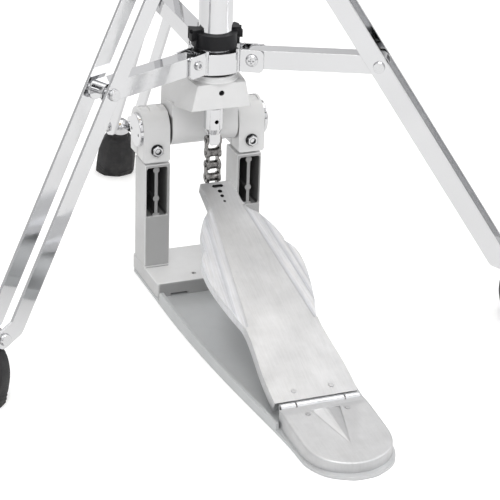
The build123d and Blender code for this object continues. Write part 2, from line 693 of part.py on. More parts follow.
for leg_tag, phi in LEGS:
    make_strut(leg_tag, phi)
    make_leg_strips(leg_tag, phi)
    make_leg_fittings(leg_tag, phi)
    make_rubber_foot(leg_tag, phi)

# --- sliding leg collar ----------------------------------------------------
LUG_R, LUG_HALF = 8.6, 10.7
COLLAR_SCREW = (0, LEG_Z + 3)    # x, z

with BuildPart() as leg_collar:
    with BuildSketch(Plane.XY.offset(LEG_Z - 12)):
        Circle(22.0)
    extrude(amount=26)
    for _, phi in LEGS:
        with BuildSketch(radial(phi, -LUG_HALF)):
            discs(LUG_R, LEG_PIVOT)
            with Locations((LEG_R - 12, LEG_Z)):
                Rectangle(24, 2 * LUG_R)
        extrude(amount=2 * LUG_HALF)
    # front boss for the wing screw
    with BuildSketch(front_plane(0)):
        discs(7.5, COLLAR_SCREW)
    extrude(amount=27)
    with BuildSketch(Plane.XY.offset(LEG_Z - 30)):
        Circle(SLIDE_BORE)
    extrude(amount=60, mode=Mode.SUBTRACT)
    with BuildSketch(front_plane(-10)):
        discs(BOLT_R + 0.06, COLLAR_SCREW)
    extrude(amount=30, mode=Mode.SUBTRACT)
save(leg_collar, "leg_collar")

# --- pedal: heel plate -------------------------------------------------------
HEEL_RIVETS = both(-18.2, -292.7)
# right half of the plate's round end and of the hollow inside it (x, y)
HEEL_OUTSIDE = ((39.6, -300), (39.5, -322), (38.4, -339), (34.6, -350), (27.0, -359.3),
                (15.0, -366.3), (0, -369.3))
HEEL_INSIDE = ((35.8, -300), (35.6, -321), (34.4, -337), (30.8, -347.4), (24.0, -355.6),
               (13.0, -362.4), (0, -365.2))

with BuildPart() as heel_plate:
    with BuildSketch(Plane.XY.offset(DECK_T)):
        with BuildLine():
            Line((0, -279.7), (39.4, -279.7))
            Line((39.4, -279.7), HEEL_OUTSIDE[0])
            Spline(*HEEL_OUTSIDE, tangents=((0, -1), (-1, 0)))
            mirror(about=Plane.YZ)
        make_face()
    extrude(amount=HEEL_Z - DECK_T)
    # the top falls away gently toward the heel
    with BuildSketch(Plane.YZ.offset(-60)):
        polygon((-290, HEEL_Z), (-380, HEEL_Z - 90 * HEEL_FALL), (-380, 30), (-290, 30))
    extrude(amount=120, mode=Mode.SUBTRACT)
    top_rim = heel_plate.edges().filter_by(
        lambda e: e.bounding_box().min.Z > 9.0 and e.center().Y < -290.5)
    fillet(top_rim, 1.6)
    # hollow underside, leaving a boss round each deck screw
    with BuildSketch(Plane.XY.offset(DECK_T)):
        with BuildLine():
            Line((0, -276), (HEEL_INSIDE[0][0], -276))
            Line((HEEL_INSIDE[0][0], -276), HEEL_INSIDE[0])
            Spline(*HEEL_INSIDE, tangents=((0, -1), (-1, 0)))
            mirror(about=Plane.YZ)
        make_face()
        discs(5.0, *HEEL_SCREWS, mode=Mode.SUBTRACT)
    extrude(amount=5.4, mode=Mode.SUBTRACT)
    # deeper room for the hinge leaf
    with BuildSketch(Plane.XY.offset(DECK_T)):
        with Locations((0, -297)):
            Rectangle(2 * HEEL_INSIDE[0][0], 42)
    extrude(amount=12.4, mode=Mode.SUBTRACT)
    # shallow faceted V-shaped tread recess in the top, deepest along its outer edges
    for side in (1, -1):
        with BuildSketch(Plane(origin=(0, -290, HEEL_Z - 0.05), x_dir=(1, 0, 0),
                               z_dir=(side * 0.11, -HEEL_FALL, 1))):
            polygon((side * 2.5, 2), (side * 13.0, 2), (0, -53))
        extrude(amount=4, mode=Mode.SUBTRACT)
    with BuildSketch(Plane.XY):
        discs(SCREW_HOLE_R, *HEEL_SCREWS, *HEEL_RIVETS)
    extrude(amount=12.7, mode=Mode.SUBTRACT)
    with BuildSketch(Plane.XY.offset(12)):
        discs(RIVET_HOLE_R, *HEEL_RIVETS)
    extrude(amount=15.0, mode=Mode.SUBTRACT)
save(heel_plate, "heel_plate")

# --- hinge -------------------------------------------------------------------
HINGE = (HINGE_Y, HINGE_Z)
KNUCKLE_X0, KNUCKLE_X1 = 23.3, 36.4      # heel leaf's outer knuckles
LEAF_X = 34.4                            # half width of the heel leaf
LEAF_Z0, LEAF_Z1 = 13.7, 15.3

with BuildPart() as heel_hinge_leaf:
    for left, right in ((-KNUCKLE_X1, -KNUCKLE_X0), (KNUCKLE_X0, KNUCKLE_X1)):
        with BuildSketch(Plane.YZ.offset(left)):
            discs(KNUCKLE_R, HINGE)
        extrude(amount=right - left)
    # tabs from the knuckles to the leaf, then the leaf itself
    for left, right in ((-LEAF_X, -KNUCKLE_X0), (KNUCKLE_X0, LEAF_X)):
        with BuildSketch(Plane.YZ.offset(left)):
            polygon((HINGE_Y, LEAF_Z1), (HINGE_Y, LEAF_Z0), (-281.7, LEAF_Z0), (-281.7, LEAF_Z1))
        extrude(amount=right - left)
    with BuildSketch(Plane.YZ.offset(-LEAF_X)):
        polygon((-280.4, LEAF_Z1), (-280.4, LEAF_Z0), (-301, LEAF_Z0), (-301, LEAF_Z1))
    extrude(amount=2 * LEAF_X)
    with BuildSketch(Plane.YZ.offset(-50)):
        discs(HINGE_PIN_R + 0.02, HINGE)
    extrude(amount=100, mode=Mode.SUBTRACT)
    with BuildSketch(Plane.XY):
        discs(RIVET_HOLE_R, *HEEL_RIVETS)
    extrude(amount=30, mode=Mode.SUBTRACT)
save(heel_hinge_leaf, "heel_hinge_leaf")

RIVET_PROUD = 0.35               # rivet shanks stand this far above the top
with BuildPart() as heel_rivets:
    with BuildSketch(Plane.XY.offset(11.6)):
        discs(RIVET_HEAD_R, *HEEL_RIVETS)
    extrude(amount=1.9)
    with BuildSketch(Plane.XY.offset(13.0)):
        discs(RIVET_R, *HEEL_RIVETS)
    extrude(amount=HEEL_Z - 13.0 + RIVET_PROUD)
save(heel_rivets, "heel_rivets")

HINGE_PIN_HALF = 36.2
with BuildPart() as hinge_pin:
    with BuildSketch(Plane.YZ.offset(-HINGE_PIN_HALF)):
        discs(HINGE_PIN_R, HINGE)
    extrude(amount=2 * HINGE_PIN_HALF)
save(hinge_pin, "hinge_pin")

# --- footboard ---------------------------------------------------------------
# right-hand outline (x, distance from the hinge end), from the tip down
TIP_WING = ((16.5, 247), (24.5, 232.5), (33.5, 217), (38.2, 200), (39.6, 189))
MAIN_WING = ((43.5, 184.5), (47.6, 169), (47.2, 147), (43.8, 127), (40.2, 111), (36.2, 97),
             (34.6, 85))
WAIST = ((34.6, 85), (35.6, 64), (38.4, 32), (38.9, 0))
# right-hand wall of the hollow, running out past the tip and the hinge end
HOLLOW = ((12.2, 280), (13.0, 246), (20.5, 231), (29.5, 215), (34.5, 199), (37.0, 184),
          (43.8, 168), (43.2, 147), (39.9, 128), (36.4, 111), (32.4, 97), (31.0, 85),
          (32.0, 64), (34.9, 32), (35.2, -4))
# concave flutes: (x, along) at the tip end, the same at the hinge end, depth
FLUTES = (((20.3, 242), (36.4, 90), 1.9),
          ((29.6, 246), (45.8, 92), 1.5),
          ((42.6, 190), (48.6, 108), 1.9))
FLUTE_R = 8.0
BOARD_RIVETS = both(-17.6, 10.4)


def tip_holes(mode=Mode.ADD):
    """Adjuster slot and two holes shared by the footboard's tip and the chain anchor."""
    with Locations((0, 269.6)):
        SlotOverall(11.0, 4.0, mode=mode)
    discs(2.2, (0, 262.3), mode=mode)
    discs(1.9, (0, 255.8), mode=mode)


with BuildPart() as footboard:
    with BuildSketch(board_plane(-BOARD_D)):
        with BuildLine():
            Line((0, BOARD_L), (15.7, BOARD_L))
            Line((15.7, BOARD_L), TIP_WING[0])
            Spline(*TIP_WING, tangents=((0.25, -1), (0.05, -1)))
            Line(TIP_WING[-1], MAIN_WING[0])
            Spline(*MAIN_WING, tangents=((0.6, -1), (-0.05, -1)))
            Spline(*WAIST, tangents=((0, -1), (0, -1)))
            Line(WAIST[-1], (0, 0))
            mirror(about=Plane.YZ)
        make_face()
    extrude(amount=BOARD_D)
    # hollow underside, open at the hinge and at the tip
    with BuildSketch(board_plane(-BOARD_D - 1)):
        polygon(*HOLLOW, *[(-x, y) for x, y in reversed(HOLLOW)])
    extrude(amount=BOARD_D - BOARD_WEB + 1, mode=Mode.SUBTRACT)
    # flutes along both wings, cut by cylinders that lie mostly above the top
    for (tip_x, tip_s), (heel_x, heel_s), flute_depth in FLUTES:
        for side in (1, -1):
            flute_start = board_point(side * tip_x, tip_s, FLUTE_R - flute_depth)
            flute_end = board_point(side * heel_x, heel_s, FLUTE_R - flute_depth)
            flute_run = flute_end - flute_start
            with BuildSketch(Plane(origin=flute_start, x_dir=board_plane().z_dir,
                                   z_dir=flute_run)):
                Circle(FLUTE_R)
            extrude(amount=flute_run.length, mode=Mode.SUBTRACT)
    # adjuster slot, the row of small holes at the tip, and the rivet holes
    with BuildSketch(board_plane(-BOARD_D)):
        tip_holes()
        discs(1.3, (0, 248.4))
        discs(RIVET_HOLE_R, *BOARD_RIVETS)
    extrude(amount=20, mode=Mode.SUBTRACT)
save(footboard, "footboard")

BOARD_KNUCKLE_X = 21.9
with BuildPart() as footboard_hinge_leaf:
    with BuildSketch(Plane.YZ.offset(-BOARD_KNUCKLE_X)):
        discs(KNUCKLE_R, HINGE)
    extrude(amount=2 * BOARD_KNUCKLE_X)
    # cranked neck from the knuckle to the leaf under the board
    with BuildSketch(board_side(-BOARD_KNUCKLE_X)):
        polygon((-7.26, -3.9), (-7.26, -2.3), (-3.4, -2.3), (-1.5, -5.6), (5, -5.6), (5, -7.2),
                (-2.4, -7.2), (-4.6, -3.9))
    extrude(amount=2 * BOARD_KNUCKLE_X)
    with BuildSketch(board_side(-33.0)):
        polygon((2.0, -5.6), (20, -5.6), (20, -7.2), (2.0, -7.2))
    extrude(amount=66.0)
    with BuildSketch(Plane.YZ.offset(-30)):
        discs(HINGE_PIN_R + 0.06, HINGE)
    extrude(amount=60, mode=Mode.SUBTRACT)
    with BuildSketch(board_plane(-15)):
        discs(RIVET_HOLE_R, *BOARD_RIVETS)
    extrude(amount=20, mode=Mode.SUBTRACT)
save(footboard_hinge_leaf, "footboard_hinge_leaf")

with BuildPart() as footboard_rivets:
    with BuildSketch(board_plane(-9.0)):
        discs(RIVET_HEAD_R, *BOARD_RIVETS)
    extrude(amount=1.7)
    with BuildSketch(board_plane(-7.4)):
        discs(RIVET_R, *BOARD_RIVETS)
    extrude(amount=7.4 + RIVET_PROUD)
save(footboard_rivets, "footboard_rivets")

# --- chain anchor: bracket under the tip, with a pin at the last chain hole ---
CHAIN_Z = [CHAIN_Z0 - i * PITCH for i in range(5)]
ANCHOR_Z = CHAIN_Z[4]
ANCHOR_PLATE_T = 2.6
CHEEK_X, CHEEK_T = 6.3, 2.5
ANCHOR_PIN_HALF = 10.2
# the pin in footboard terms: along from the hinge end, and above the top
_dy, _dz = -BOARD_O[1], ANCHOR_Z - BOARD_O[2]
ANCHOR_S = _dy * cos(BOARD_A) + _dz * sin(BOARD_A)
ANCHOR_H = -_dy * sin(BOARD_A) + _dz * cos(BOARD_A)

with BuildPart() as chain_anchor:
    with BuildSketch(board_plane(-BOARD_WEB - ANCHOR_PLATE_T)):
        with Locations((0, 262)):
            Rectangle(17.6, 24)
        tip_holes(mode=Mode.SUBTRACT)
    extrude(amount=ANCHOR_PLATE_T)
    for cheek_x in (CHEEK_X, -CHEEK_X - CHEEK_T):
        with BuildSketch(board_side(cheek_x)):
            polygon((258, -8.0), (273.9, -5.6), (ANCHOR_S + 3.5, ANCHOR_H + 4.0),
                    (ANCHOR_S, ANCHOR_H - 5.4), (262, -11.5))
            discs(5.4, (ANCHOR_S, ANCHOR_H))
        extrude(amount=CHEEK_T)
    with BuildSketch(Plane.YZ.offset(-ANCHOR_PIN_HALF)):
        discs(PIN_R, (0, ANCHOR_Z))
    extrude(amount=2 * ANCHOR_PIN_HALF)
save(chain_anchor, "chain_anchor")

# --- roller chain ------------------------------------------------------------
PLATE_T = 1.5
PLATE_FIT, ROLLER_FIT = 0.02, 0.05
ANCHOR_FIT = 0.75                # the last hole is loose on the anchor pin
ROLLER_HALF = 4.0
CHAIN_PIN_HALF = 8.3
# name, inner face x, links as (upper pin, lower pin, clearance at each)
CHAIN_PLATES = (
    ("chain_outer_plates", 5.75, ((0, 1, PLATE_FIT, PLATE_FIT), (2, 3, PLATE_FIT, PLATE_FIT))),
    ("chain_inner_plates", 4.1, ((1, 2, ROLLER_FIT, ROLLER_FIT), (3, 4, ROLLER_FIT, ANCHOR_FIT))),
)

for name, inner_x, links in CHAIN_PLATES:
    with BuildPart() as link_plates:
        for upper, lower, upper_fit, lower_fit in links:
            upper_pin, lower_pin = (0, CHAIN_Z[upper]), (0, CHAIN_Z[lower])
            for plate_x in (inner_x, -inner_x - PLATE_T):
                with BuildSketch(Plane.YZ.offset(plate_x)):
                    discs(5.0, upper_pin, lower_pin)
                    with Locations((0, (CHAIN_Z[upper] + CHAIN_Z[lower]) / 2)):
                        Rectangle(6.8, PITCH)
                    discs(PIN_R + upper_fit, upper_pin, mode=Mode.SUBTRACT)
                    discs(PIN_R + lower_fit, lower_pin, mode=Mode.SUBTRACT)
                extrude(amount=PLATE_T)
    save(link_plates, name)

with BuildPart() as chain_rollers:
    for i in (1, 2, 3, 4):
        with BuildSketch(Plane.YZ.offset(-ROLLER_HALF)):
            with Locations((0, CHAIN_Z[i])):
                Circle(4.0)
                Circle(PIN_R + (ANCHOR_FIT if i == 4 else ROLLER_FIT), mode=Mode.SUBTRACT)
        extrude(amount=2 * ROLLER_HALF)
save(chain_rollers, "chain_rollers")

with BuildPart() as chain_pins:
    for i in (0, 1, 2, 3):
        with BuildSketch(Plane.YZ.offset(-CHAIN_PIN_HALF)):
            discs(PIN_R, (0, CHAIN_Z[i]))
        extrude(amount=2 * CHAIN_PIN_HALF)
save(chain_pins, "chain_pins")

# --- pull rod ----------------------------------------------------------------
CONNECTOR_R = 9.2
CONNECTOR_Z0 = 167.0             # bottom of the cylindrical part

with BuildPart() as rod_connector:
    with BuildSketch(Plane.XY.offset(CONNECTOR_Z0)):
        Circle(CONNECTOR_R)
    extrude(amount=21.0)
    fillet(rod_connector.faces().sort_by(Axis.Z)[-1].edges(), 0.8)
    # cone below, then the tongue that takes the top chain pin
    with BuildSketch(Plane.XY.offset(CONNECTOR_Z0)):
        Circle(CONNECTOR_R)
    with BuildSketch(Plane.XY.offset(161.2)):
        Circle(6.2)
    loft()
    with BuildSketch(front_plane(5.0)):
        polygon((-5.5, 162.0), (5.5, 162.0), (5.4, 153.4), (3.6, 150.2), (-3.6, 150.2),
                (-5.4, 153.4))
    extrude(amount=10.0)
    with BuildSketch(Plane.YZ.offset(-20)):
        discs(PIN_R + 0.05, (0, CHAIN_Z0))
    extrude(amount=40, mode=Mode.SUBTRACT)
    # rod socket, and a small hole in the front
    with BuildSketch(Plane.XY.offset(176)):
        Circle(ROD_R + 0.02)
    extrude(amount=20, mode=Mode.SUBTRACT)
    with BuildSketch(front_plane(-11)):
        discs(1.8, (0, 175.2))
    extrude(amount=-9, mode=Mode.SUBTRACT)
save(rod_connector, "rod_connector")

with BuildPart() as pull_rod:
    with BuildSketch(Plane.XY.offset(ROD_Z0)):
        Circle(ROD_R)
    extrude(amount=ROD_TOP - ROD_Z0)
    chamfer(pull_rod.faces().sort_by(Axis.Z)[-1].edges(), 0.8)
    # fine ring groove that marks the end of the adjustment range
    with BuildSketch(Plane.XY.offset(963.2)):
        Circle(ROD_R + 1)
        Circle(ROD_R - 0.3, mode=Mode.SUBTRACT)
    extrude(amount=1.0, mode=Mode.SUBTRACT)
save(pull_rod, "pull_rod")

turned("spring_cup",
       (ROD_R + 0.02, 328.2), (12.4, 328.2), (12.4, 322.0), (13.2, 322.0), (13.2, 334),
       (9.0, 338), (ROD_R + 0.02, 338))

ring("spring_seat", bottom=226.0, height=6.0, outer_r=13.85, bore_r=ROD_R + 0.6)

with BuildPart() as return_spring:
    with BuildLine() as coil:
        Helix(pitch=7.6, height=93.4, radius=9.6, center=(0, 0, 233.4))
    with BuildSketch(Plane(origin=coil.line @ 0, z_dir=coil.line % 0)):
        Circle(1.1)
    sweep(is_frenet=True)
save(return_spring, "return_spring")

# --- height clamp and upper tube --------------------------------------------
turned("tube_bushing",
       (UPPER_R + 0.05, 545), (13.82, 545), (13.82, 585.1), (15.8, 585.1), (15.8, 611),
       (14.6, 612.5), (UPPER_R + 0.05, 612.5))

CLAMP_BOLT = (34, 587)           # y, z
with BuildPart() as height_clamp:
    with BuildSketch(Plane.XY.offset(567)):
        Circle(22.0)
    extrude(amount=41)
    fillet(height_clamp.edges().filter_by(GeomType.CIRCLE), 1.6)
    # two lugs at the back, parted by the clamp slit
    with BuildSketch(Plane.XY.offset(570)):
        with Locations(*both(7.2, 28)):
            Rectangle(9.0, 26)
    extrude(amount=34)
    with BuildSketch(Plane.XY.offset(560)):
        Circle(TUBE_BORE)
        with Locations((0, 30)):
            Rectangle(4.4, 34)
    extrude(amount=60, mode=Mode.SUBTRACT)
    with BuildSketch(Plane.YZ.offset(-30)):
        discs(BOLT_R + 0.06, CLAMP_BOLT)
    extrude(amount=60, mode=Mode.SUBTRACT)
save(height_clamp, "height_clamp")

ring("upper_tube", UPPER_Z0, UPPER_Z1 - UPPER_Z0, UPPER_R, UPPER_R - UPPER_WALL)

# --- lower cymbal seat --------------------------------------------------------
SEAT_Z = 812
TILT_SCREW = (23.0, 0)           # x, y
TILT_SCREW_R = 2.5

with BuildPart() as cymbal_seat:
    with BuildSketch(Plane.XZ):
        polygon((UPPER_R + 0.02, 786), (14.5, 786), (16.0, 788), (16.0, 802), (24.0, 806.5),
                (29.0, 807.5), (30.0, 809), (30.0, SEAT_Z), (5.4, SEAT_Z), (5.4, 828),
                (3.8, 828), (3.8, 803), (9.4, 803), (9.4, 800.2), (UPPER_R + 0.02, 800.2))
    revolve(axis=Axis.Z)
    with BuildSketch(Plane.XY.offset(780)):
        discs(TILT_SCREW_R + 0.06, TILT_SCREW)
    extrude(amount=40, mode=Mode.SUBTRACT)
save(cymbal_seat, "cymbal_seat")

with BuildPart() as seat_felt:
    with BuildSketch(Plane.XY.offset(SEAT_Z + 0.15)):
        Circle(17.0)
        Circle(5.6, mode=Mode.SUBTRACT)
    extrude(amount=7.6)
    fillet(seat_felt.edges().filter_by(
        lambda e: e.geom_type == GeomType.CIRCLE and e.radius > 10), 1.6)
save(seat_felt, "seat_felt")

# screw with a grooved round knob underneath
with BuildPart() as seat_tilt_screw:
    with BuildSketch(Plane.XY.offset(798)):
        discs(TILT_SCREW_R, TILT_SCREW)
    extrude(amount=15.2)
    with BuildSketch(Plane.XY.offset(793)):
        discs(6.4, TILT_SCREW)
        with Locations(TILT_SCREW):
            with PolarLocations(6.9, 12):
                Circle(1.1, mode=Mode.SUBTRACT)
    extrude(amount=7.0)
save(seat_tilt_screw, "seat_tilt_screw")

# --- cymbals ------------------------------------------------------------------
# outer face of a cymbal: (radius, distance from the bell's flat toward the other cymbal)
CYMBAL_PROFILE = ((6.0, 0.0), (14.0, 0.0), (26.0, 2.2), (38.0, 7.0), (47.0, 12.6),
                  (53.0, 15.4), (62.0, 16.9), (100.0, 21.2), (140.0, 25.2), (CYM_R, 28.5))


def cymbal_face(inset, flipped):
    """Points of the cymbal face at this inset from the outer one."""
    heights = [(radius, CYM_Z + rise + inset) for radius, rise in CYMBAL_PROFILE]
    return [(radius, 2 * CYM_MID - z if flipped else z) for radius, z in heights]


for name, flipped in (("bottom_cymbal", False), ("top_cymbal", True)):
    outer_face = cymbal_face(0.0, flipped)
    inner_face = cymbal_face(CYM_T, flipped)
    with BuildPart() as cymbal:
        with BuildSketch(Plane.XZ):
            with BuildLine():
                Spline(*outer_face)
                Spline(*inner_face)
                Line(outer_face[0], inner_face[0])
                Line(outer_face[-1], inner_face[-1])
            make_face()
        revolve(axis=Axis.Z)
    save(cymbal, name)

# --- clutch -------------------------------------------------------------------
BELL_Z = 2 * CYM_MID - CYM_Z         # top face of the upper cymbal's bell
CLUTCH_R = 5.0                       # threaded stem
CLUTCH_SCREW = (0, BELL_Z + 34.2)    # y, z
FELT_T = 8.6

with BuildPart() as clutch_felts:
    for felt_z in (BELL_Z - 10.2, BELL_Z + 0.4):
        with BuildSketch(Plane.XY.offset(felt_z)):
            Circle(15.0)
            Circle(CLUTCH_R + 0.1, mode=Mode.SUBTRACT)
        extrude(amount=FELT_T)
    fillet(clutch_felts.edges().filter_by(
        lambda e: e.geom_type == GeomType.CIRCLE and e.radius > 10), 1.4)
save(clutch_felts, "clutch_felts")

# bottom z, height, radius, ring radius of the grip grooves, groove radius, groove count
CLUTCH_NUTS = (
    (BELL_Z - 15.6, 5.0, 10.5, 11.2, 1.6, 10),
    (BELL_Z + 9.4, 5.6, 11.0, 12.0, 1.7, 12),
    (BELL_Z + 15.6, 5.6, 11.0, 12.0, 1.7, 12),
)
with BuildPart() as clutch_nuts:
    for nut_z, nut_h, nut_r, groove_ring, groove_r, grooves in CLUTCH_NUTS:
        with BuildSketch(Plane.XY.offset(nut_z)):
            Circle(nut_r)
            with PolarLocations(groove_ring, grooves):
                Circle(groove_r, mode=Mode.SUBTRACT)
            Circle(CLUTCH_R + 0.03, mode=Mode.SUBTRACT)
        extrude(amount=nut_h)
save(clutch_nuts, "clutch_nuts")

with BuildPart() as clutch_body:
    with BuildSketch(Plane.XY.offset(BELL_Z - 16)):
        Circle(CLUTCH_R)
    extrude(amount=39)
    with BuildSketch(Plane.XY.offset(BELL_Z + 22.2)):
        Circle(9.0)
    extrude(amount=24)
    fillet(clutch_body.edges().filter_by(
        lambda e: e.geom_type == GeomType.CIRCLE and e.radius > 8), 1.2)
    # boss for the wing screw, on the right
    with BuildSketch(Plane.YZ):
        discs(5.5, CLUTCH_SCREW)
    extrude(amount=14)
    with BuildSketch(Plane.XY.offset(BELL_Z - 20)):
        Circle(ROD_R + 0.06)
    extrude(amount=90, mode=Mode.SUBTRACT)
    with BuildSketch(Plane.YZ):
        discs(BOLT_R + 0.06, CLUTCH_SCREW)
    extrude(amount=20, mode=Mode.SUBTRACT)
save(clutch_body, "clutch_body")


# --- wing screws: shaft, hub and two rounded wings --------------------------
def make_wing_screw(name, base, centre, shaft, head_at, span):
    """Screw along base's normal; head_at is where its head starts, span its wings' width."""
    with BuildPart() as wing_screw:
        with BuildSketch(base):
            discs(BOLT_R, centre)
        extrude(amount=shaft)
        with BuildSketch(base.offset(head_at)):
            discs(5.6, centre)
        extrude(amount=9.0, taper=6)
        with BuildSketch(base.offset(head_at + 2.0)):
            with Locations(centre):
                Rectangle(span, 4.0)
            discs(3.6, (centre[0] - span / 2, centre[1]), (centre[0] + span / 2, centre[1]))
        extrude(amount=11.0)
    save(wing_screw, name)


make_wing_screw("collar_wing_screw", front_plane(-(TUBE_R + 0.4)), COLLAR_SCREW,
                shaft=14.0, head_at=11.8, span=26)
make_wing_screw("height_wing_bolt", Plane.YZ.offset(-13.6), CLAMP_BOLT,
                shaft=28.0, head_at=25.5, span=22)
make_wing_screw("clutch_wing_screw", Plane.YZ.offset(ROD_R + 0.4), CLUTCH_SCREW,
                shaft=13.0, head_at=11.4, span=24)
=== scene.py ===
"""A hi-hat stand with its pedal and a pair of cymbals.

It stands on the floor at z = 0 with its axis on Z. The footboard reaches toward -Y, where the
heel is, and the legs end in rubber boots at 90, -30 and 210 degrees round the axis.
Lengths are metres; tables marked mm are scaled by MM.
"""
import bpy
import bmesh
import json
import math
import numpy as np
from mathutils import Matrix, Vector


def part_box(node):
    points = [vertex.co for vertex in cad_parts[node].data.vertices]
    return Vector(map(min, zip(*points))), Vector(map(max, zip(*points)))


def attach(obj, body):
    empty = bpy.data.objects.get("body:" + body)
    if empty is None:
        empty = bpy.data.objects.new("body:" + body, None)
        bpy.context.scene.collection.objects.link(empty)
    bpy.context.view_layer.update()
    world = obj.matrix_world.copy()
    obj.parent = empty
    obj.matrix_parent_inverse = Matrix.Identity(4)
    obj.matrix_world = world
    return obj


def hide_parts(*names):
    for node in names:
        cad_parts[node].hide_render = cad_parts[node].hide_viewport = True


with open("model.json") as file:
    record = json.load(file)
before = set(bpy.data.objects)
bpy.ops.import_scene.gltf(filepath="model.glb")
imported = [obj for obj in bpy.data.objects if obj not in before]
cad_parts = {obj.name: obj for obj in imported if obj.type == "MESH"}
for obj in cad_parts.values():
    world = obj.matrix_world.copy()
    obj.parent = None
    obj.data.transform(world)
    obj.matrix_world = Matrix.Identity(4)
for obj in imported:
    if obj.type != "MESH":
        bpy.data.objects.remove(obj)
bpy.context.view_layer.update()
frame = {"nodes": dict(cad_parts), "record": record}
NODES = frame["nodes"]
RECORD = frame["record"]
scene = bpy.context.scene
MM = 0.001


# ---------------------------------------------------------------------------
# node tree helpers
# ---------------------------------------------------------------------------
class Graph:
    """Short calls for building a node tree. Values may be numbers, colours or sockets."""

    def __init__(self, tree):
        self.tree = tree
        tree.nodes.clear()

    def node(self, kind, **settings):
        made = self.tree.nodes.new(kind)
        for key, value in settings.items():
            setattr(made, key, value)
        return made

    def put(self, socket, value):
        if isinstance(value, bpy.types.NodeSocket):
            self.tree.links.new(value, socket)
        elif isinstance(value, (tuple, list)) and len(value) == 3 and socket.type == "RGBA":
            socket.default_value = (*value, 1.0)
        else:
            socket.default_value = value

    def math(self, operation, a, b=0.0, clamp=False):
        made = self.node("ShaderNodeMath", operation=operation, use_clamp=clamp)
        self.put(made.inputs[0], a)
        self.put(made.inputs[1], b)
        return made.outputs[0]

    def ramp(self, factor, stops, interpolation="LINEAR"):
        """Colour ramp; each stop is (position, grey or colour)."""
        made = self.node("ShaderNodeValToRGB")
        made.color_ramp.interpolation = interpolation
        self.put(made.inputs[0], factor)
        elements = made.color_ramp.elements
        while len(elements) > 1:
            elements.remove(elements[-1])
        for i, (position, colour) in enumerate(stops):
            element = elements[0] if i == 0 else elements.new(position)
            element.position = position
            rgb = colour if isinstance(colour, tuple) else (colour,) * 3
            element.color = (*rgb, 1)
        return made.outputs[0]

    def mix(self, factor, a, b, blend="MIX"):
        made = self.node("ShaderNodeMix", data_type="RGBA", blend_type=blend)
        self.put(made.inputs[0], factor)
        self.put(made.inputs[6], a)
        self.put(made.inputs[7], b)
        return made.outputs[2]

    def split(self, vector):
        made = self.node("ShaderNodeSeparateXYZ")
        self.put(made.inputs[0], vector)
        return made.outputs


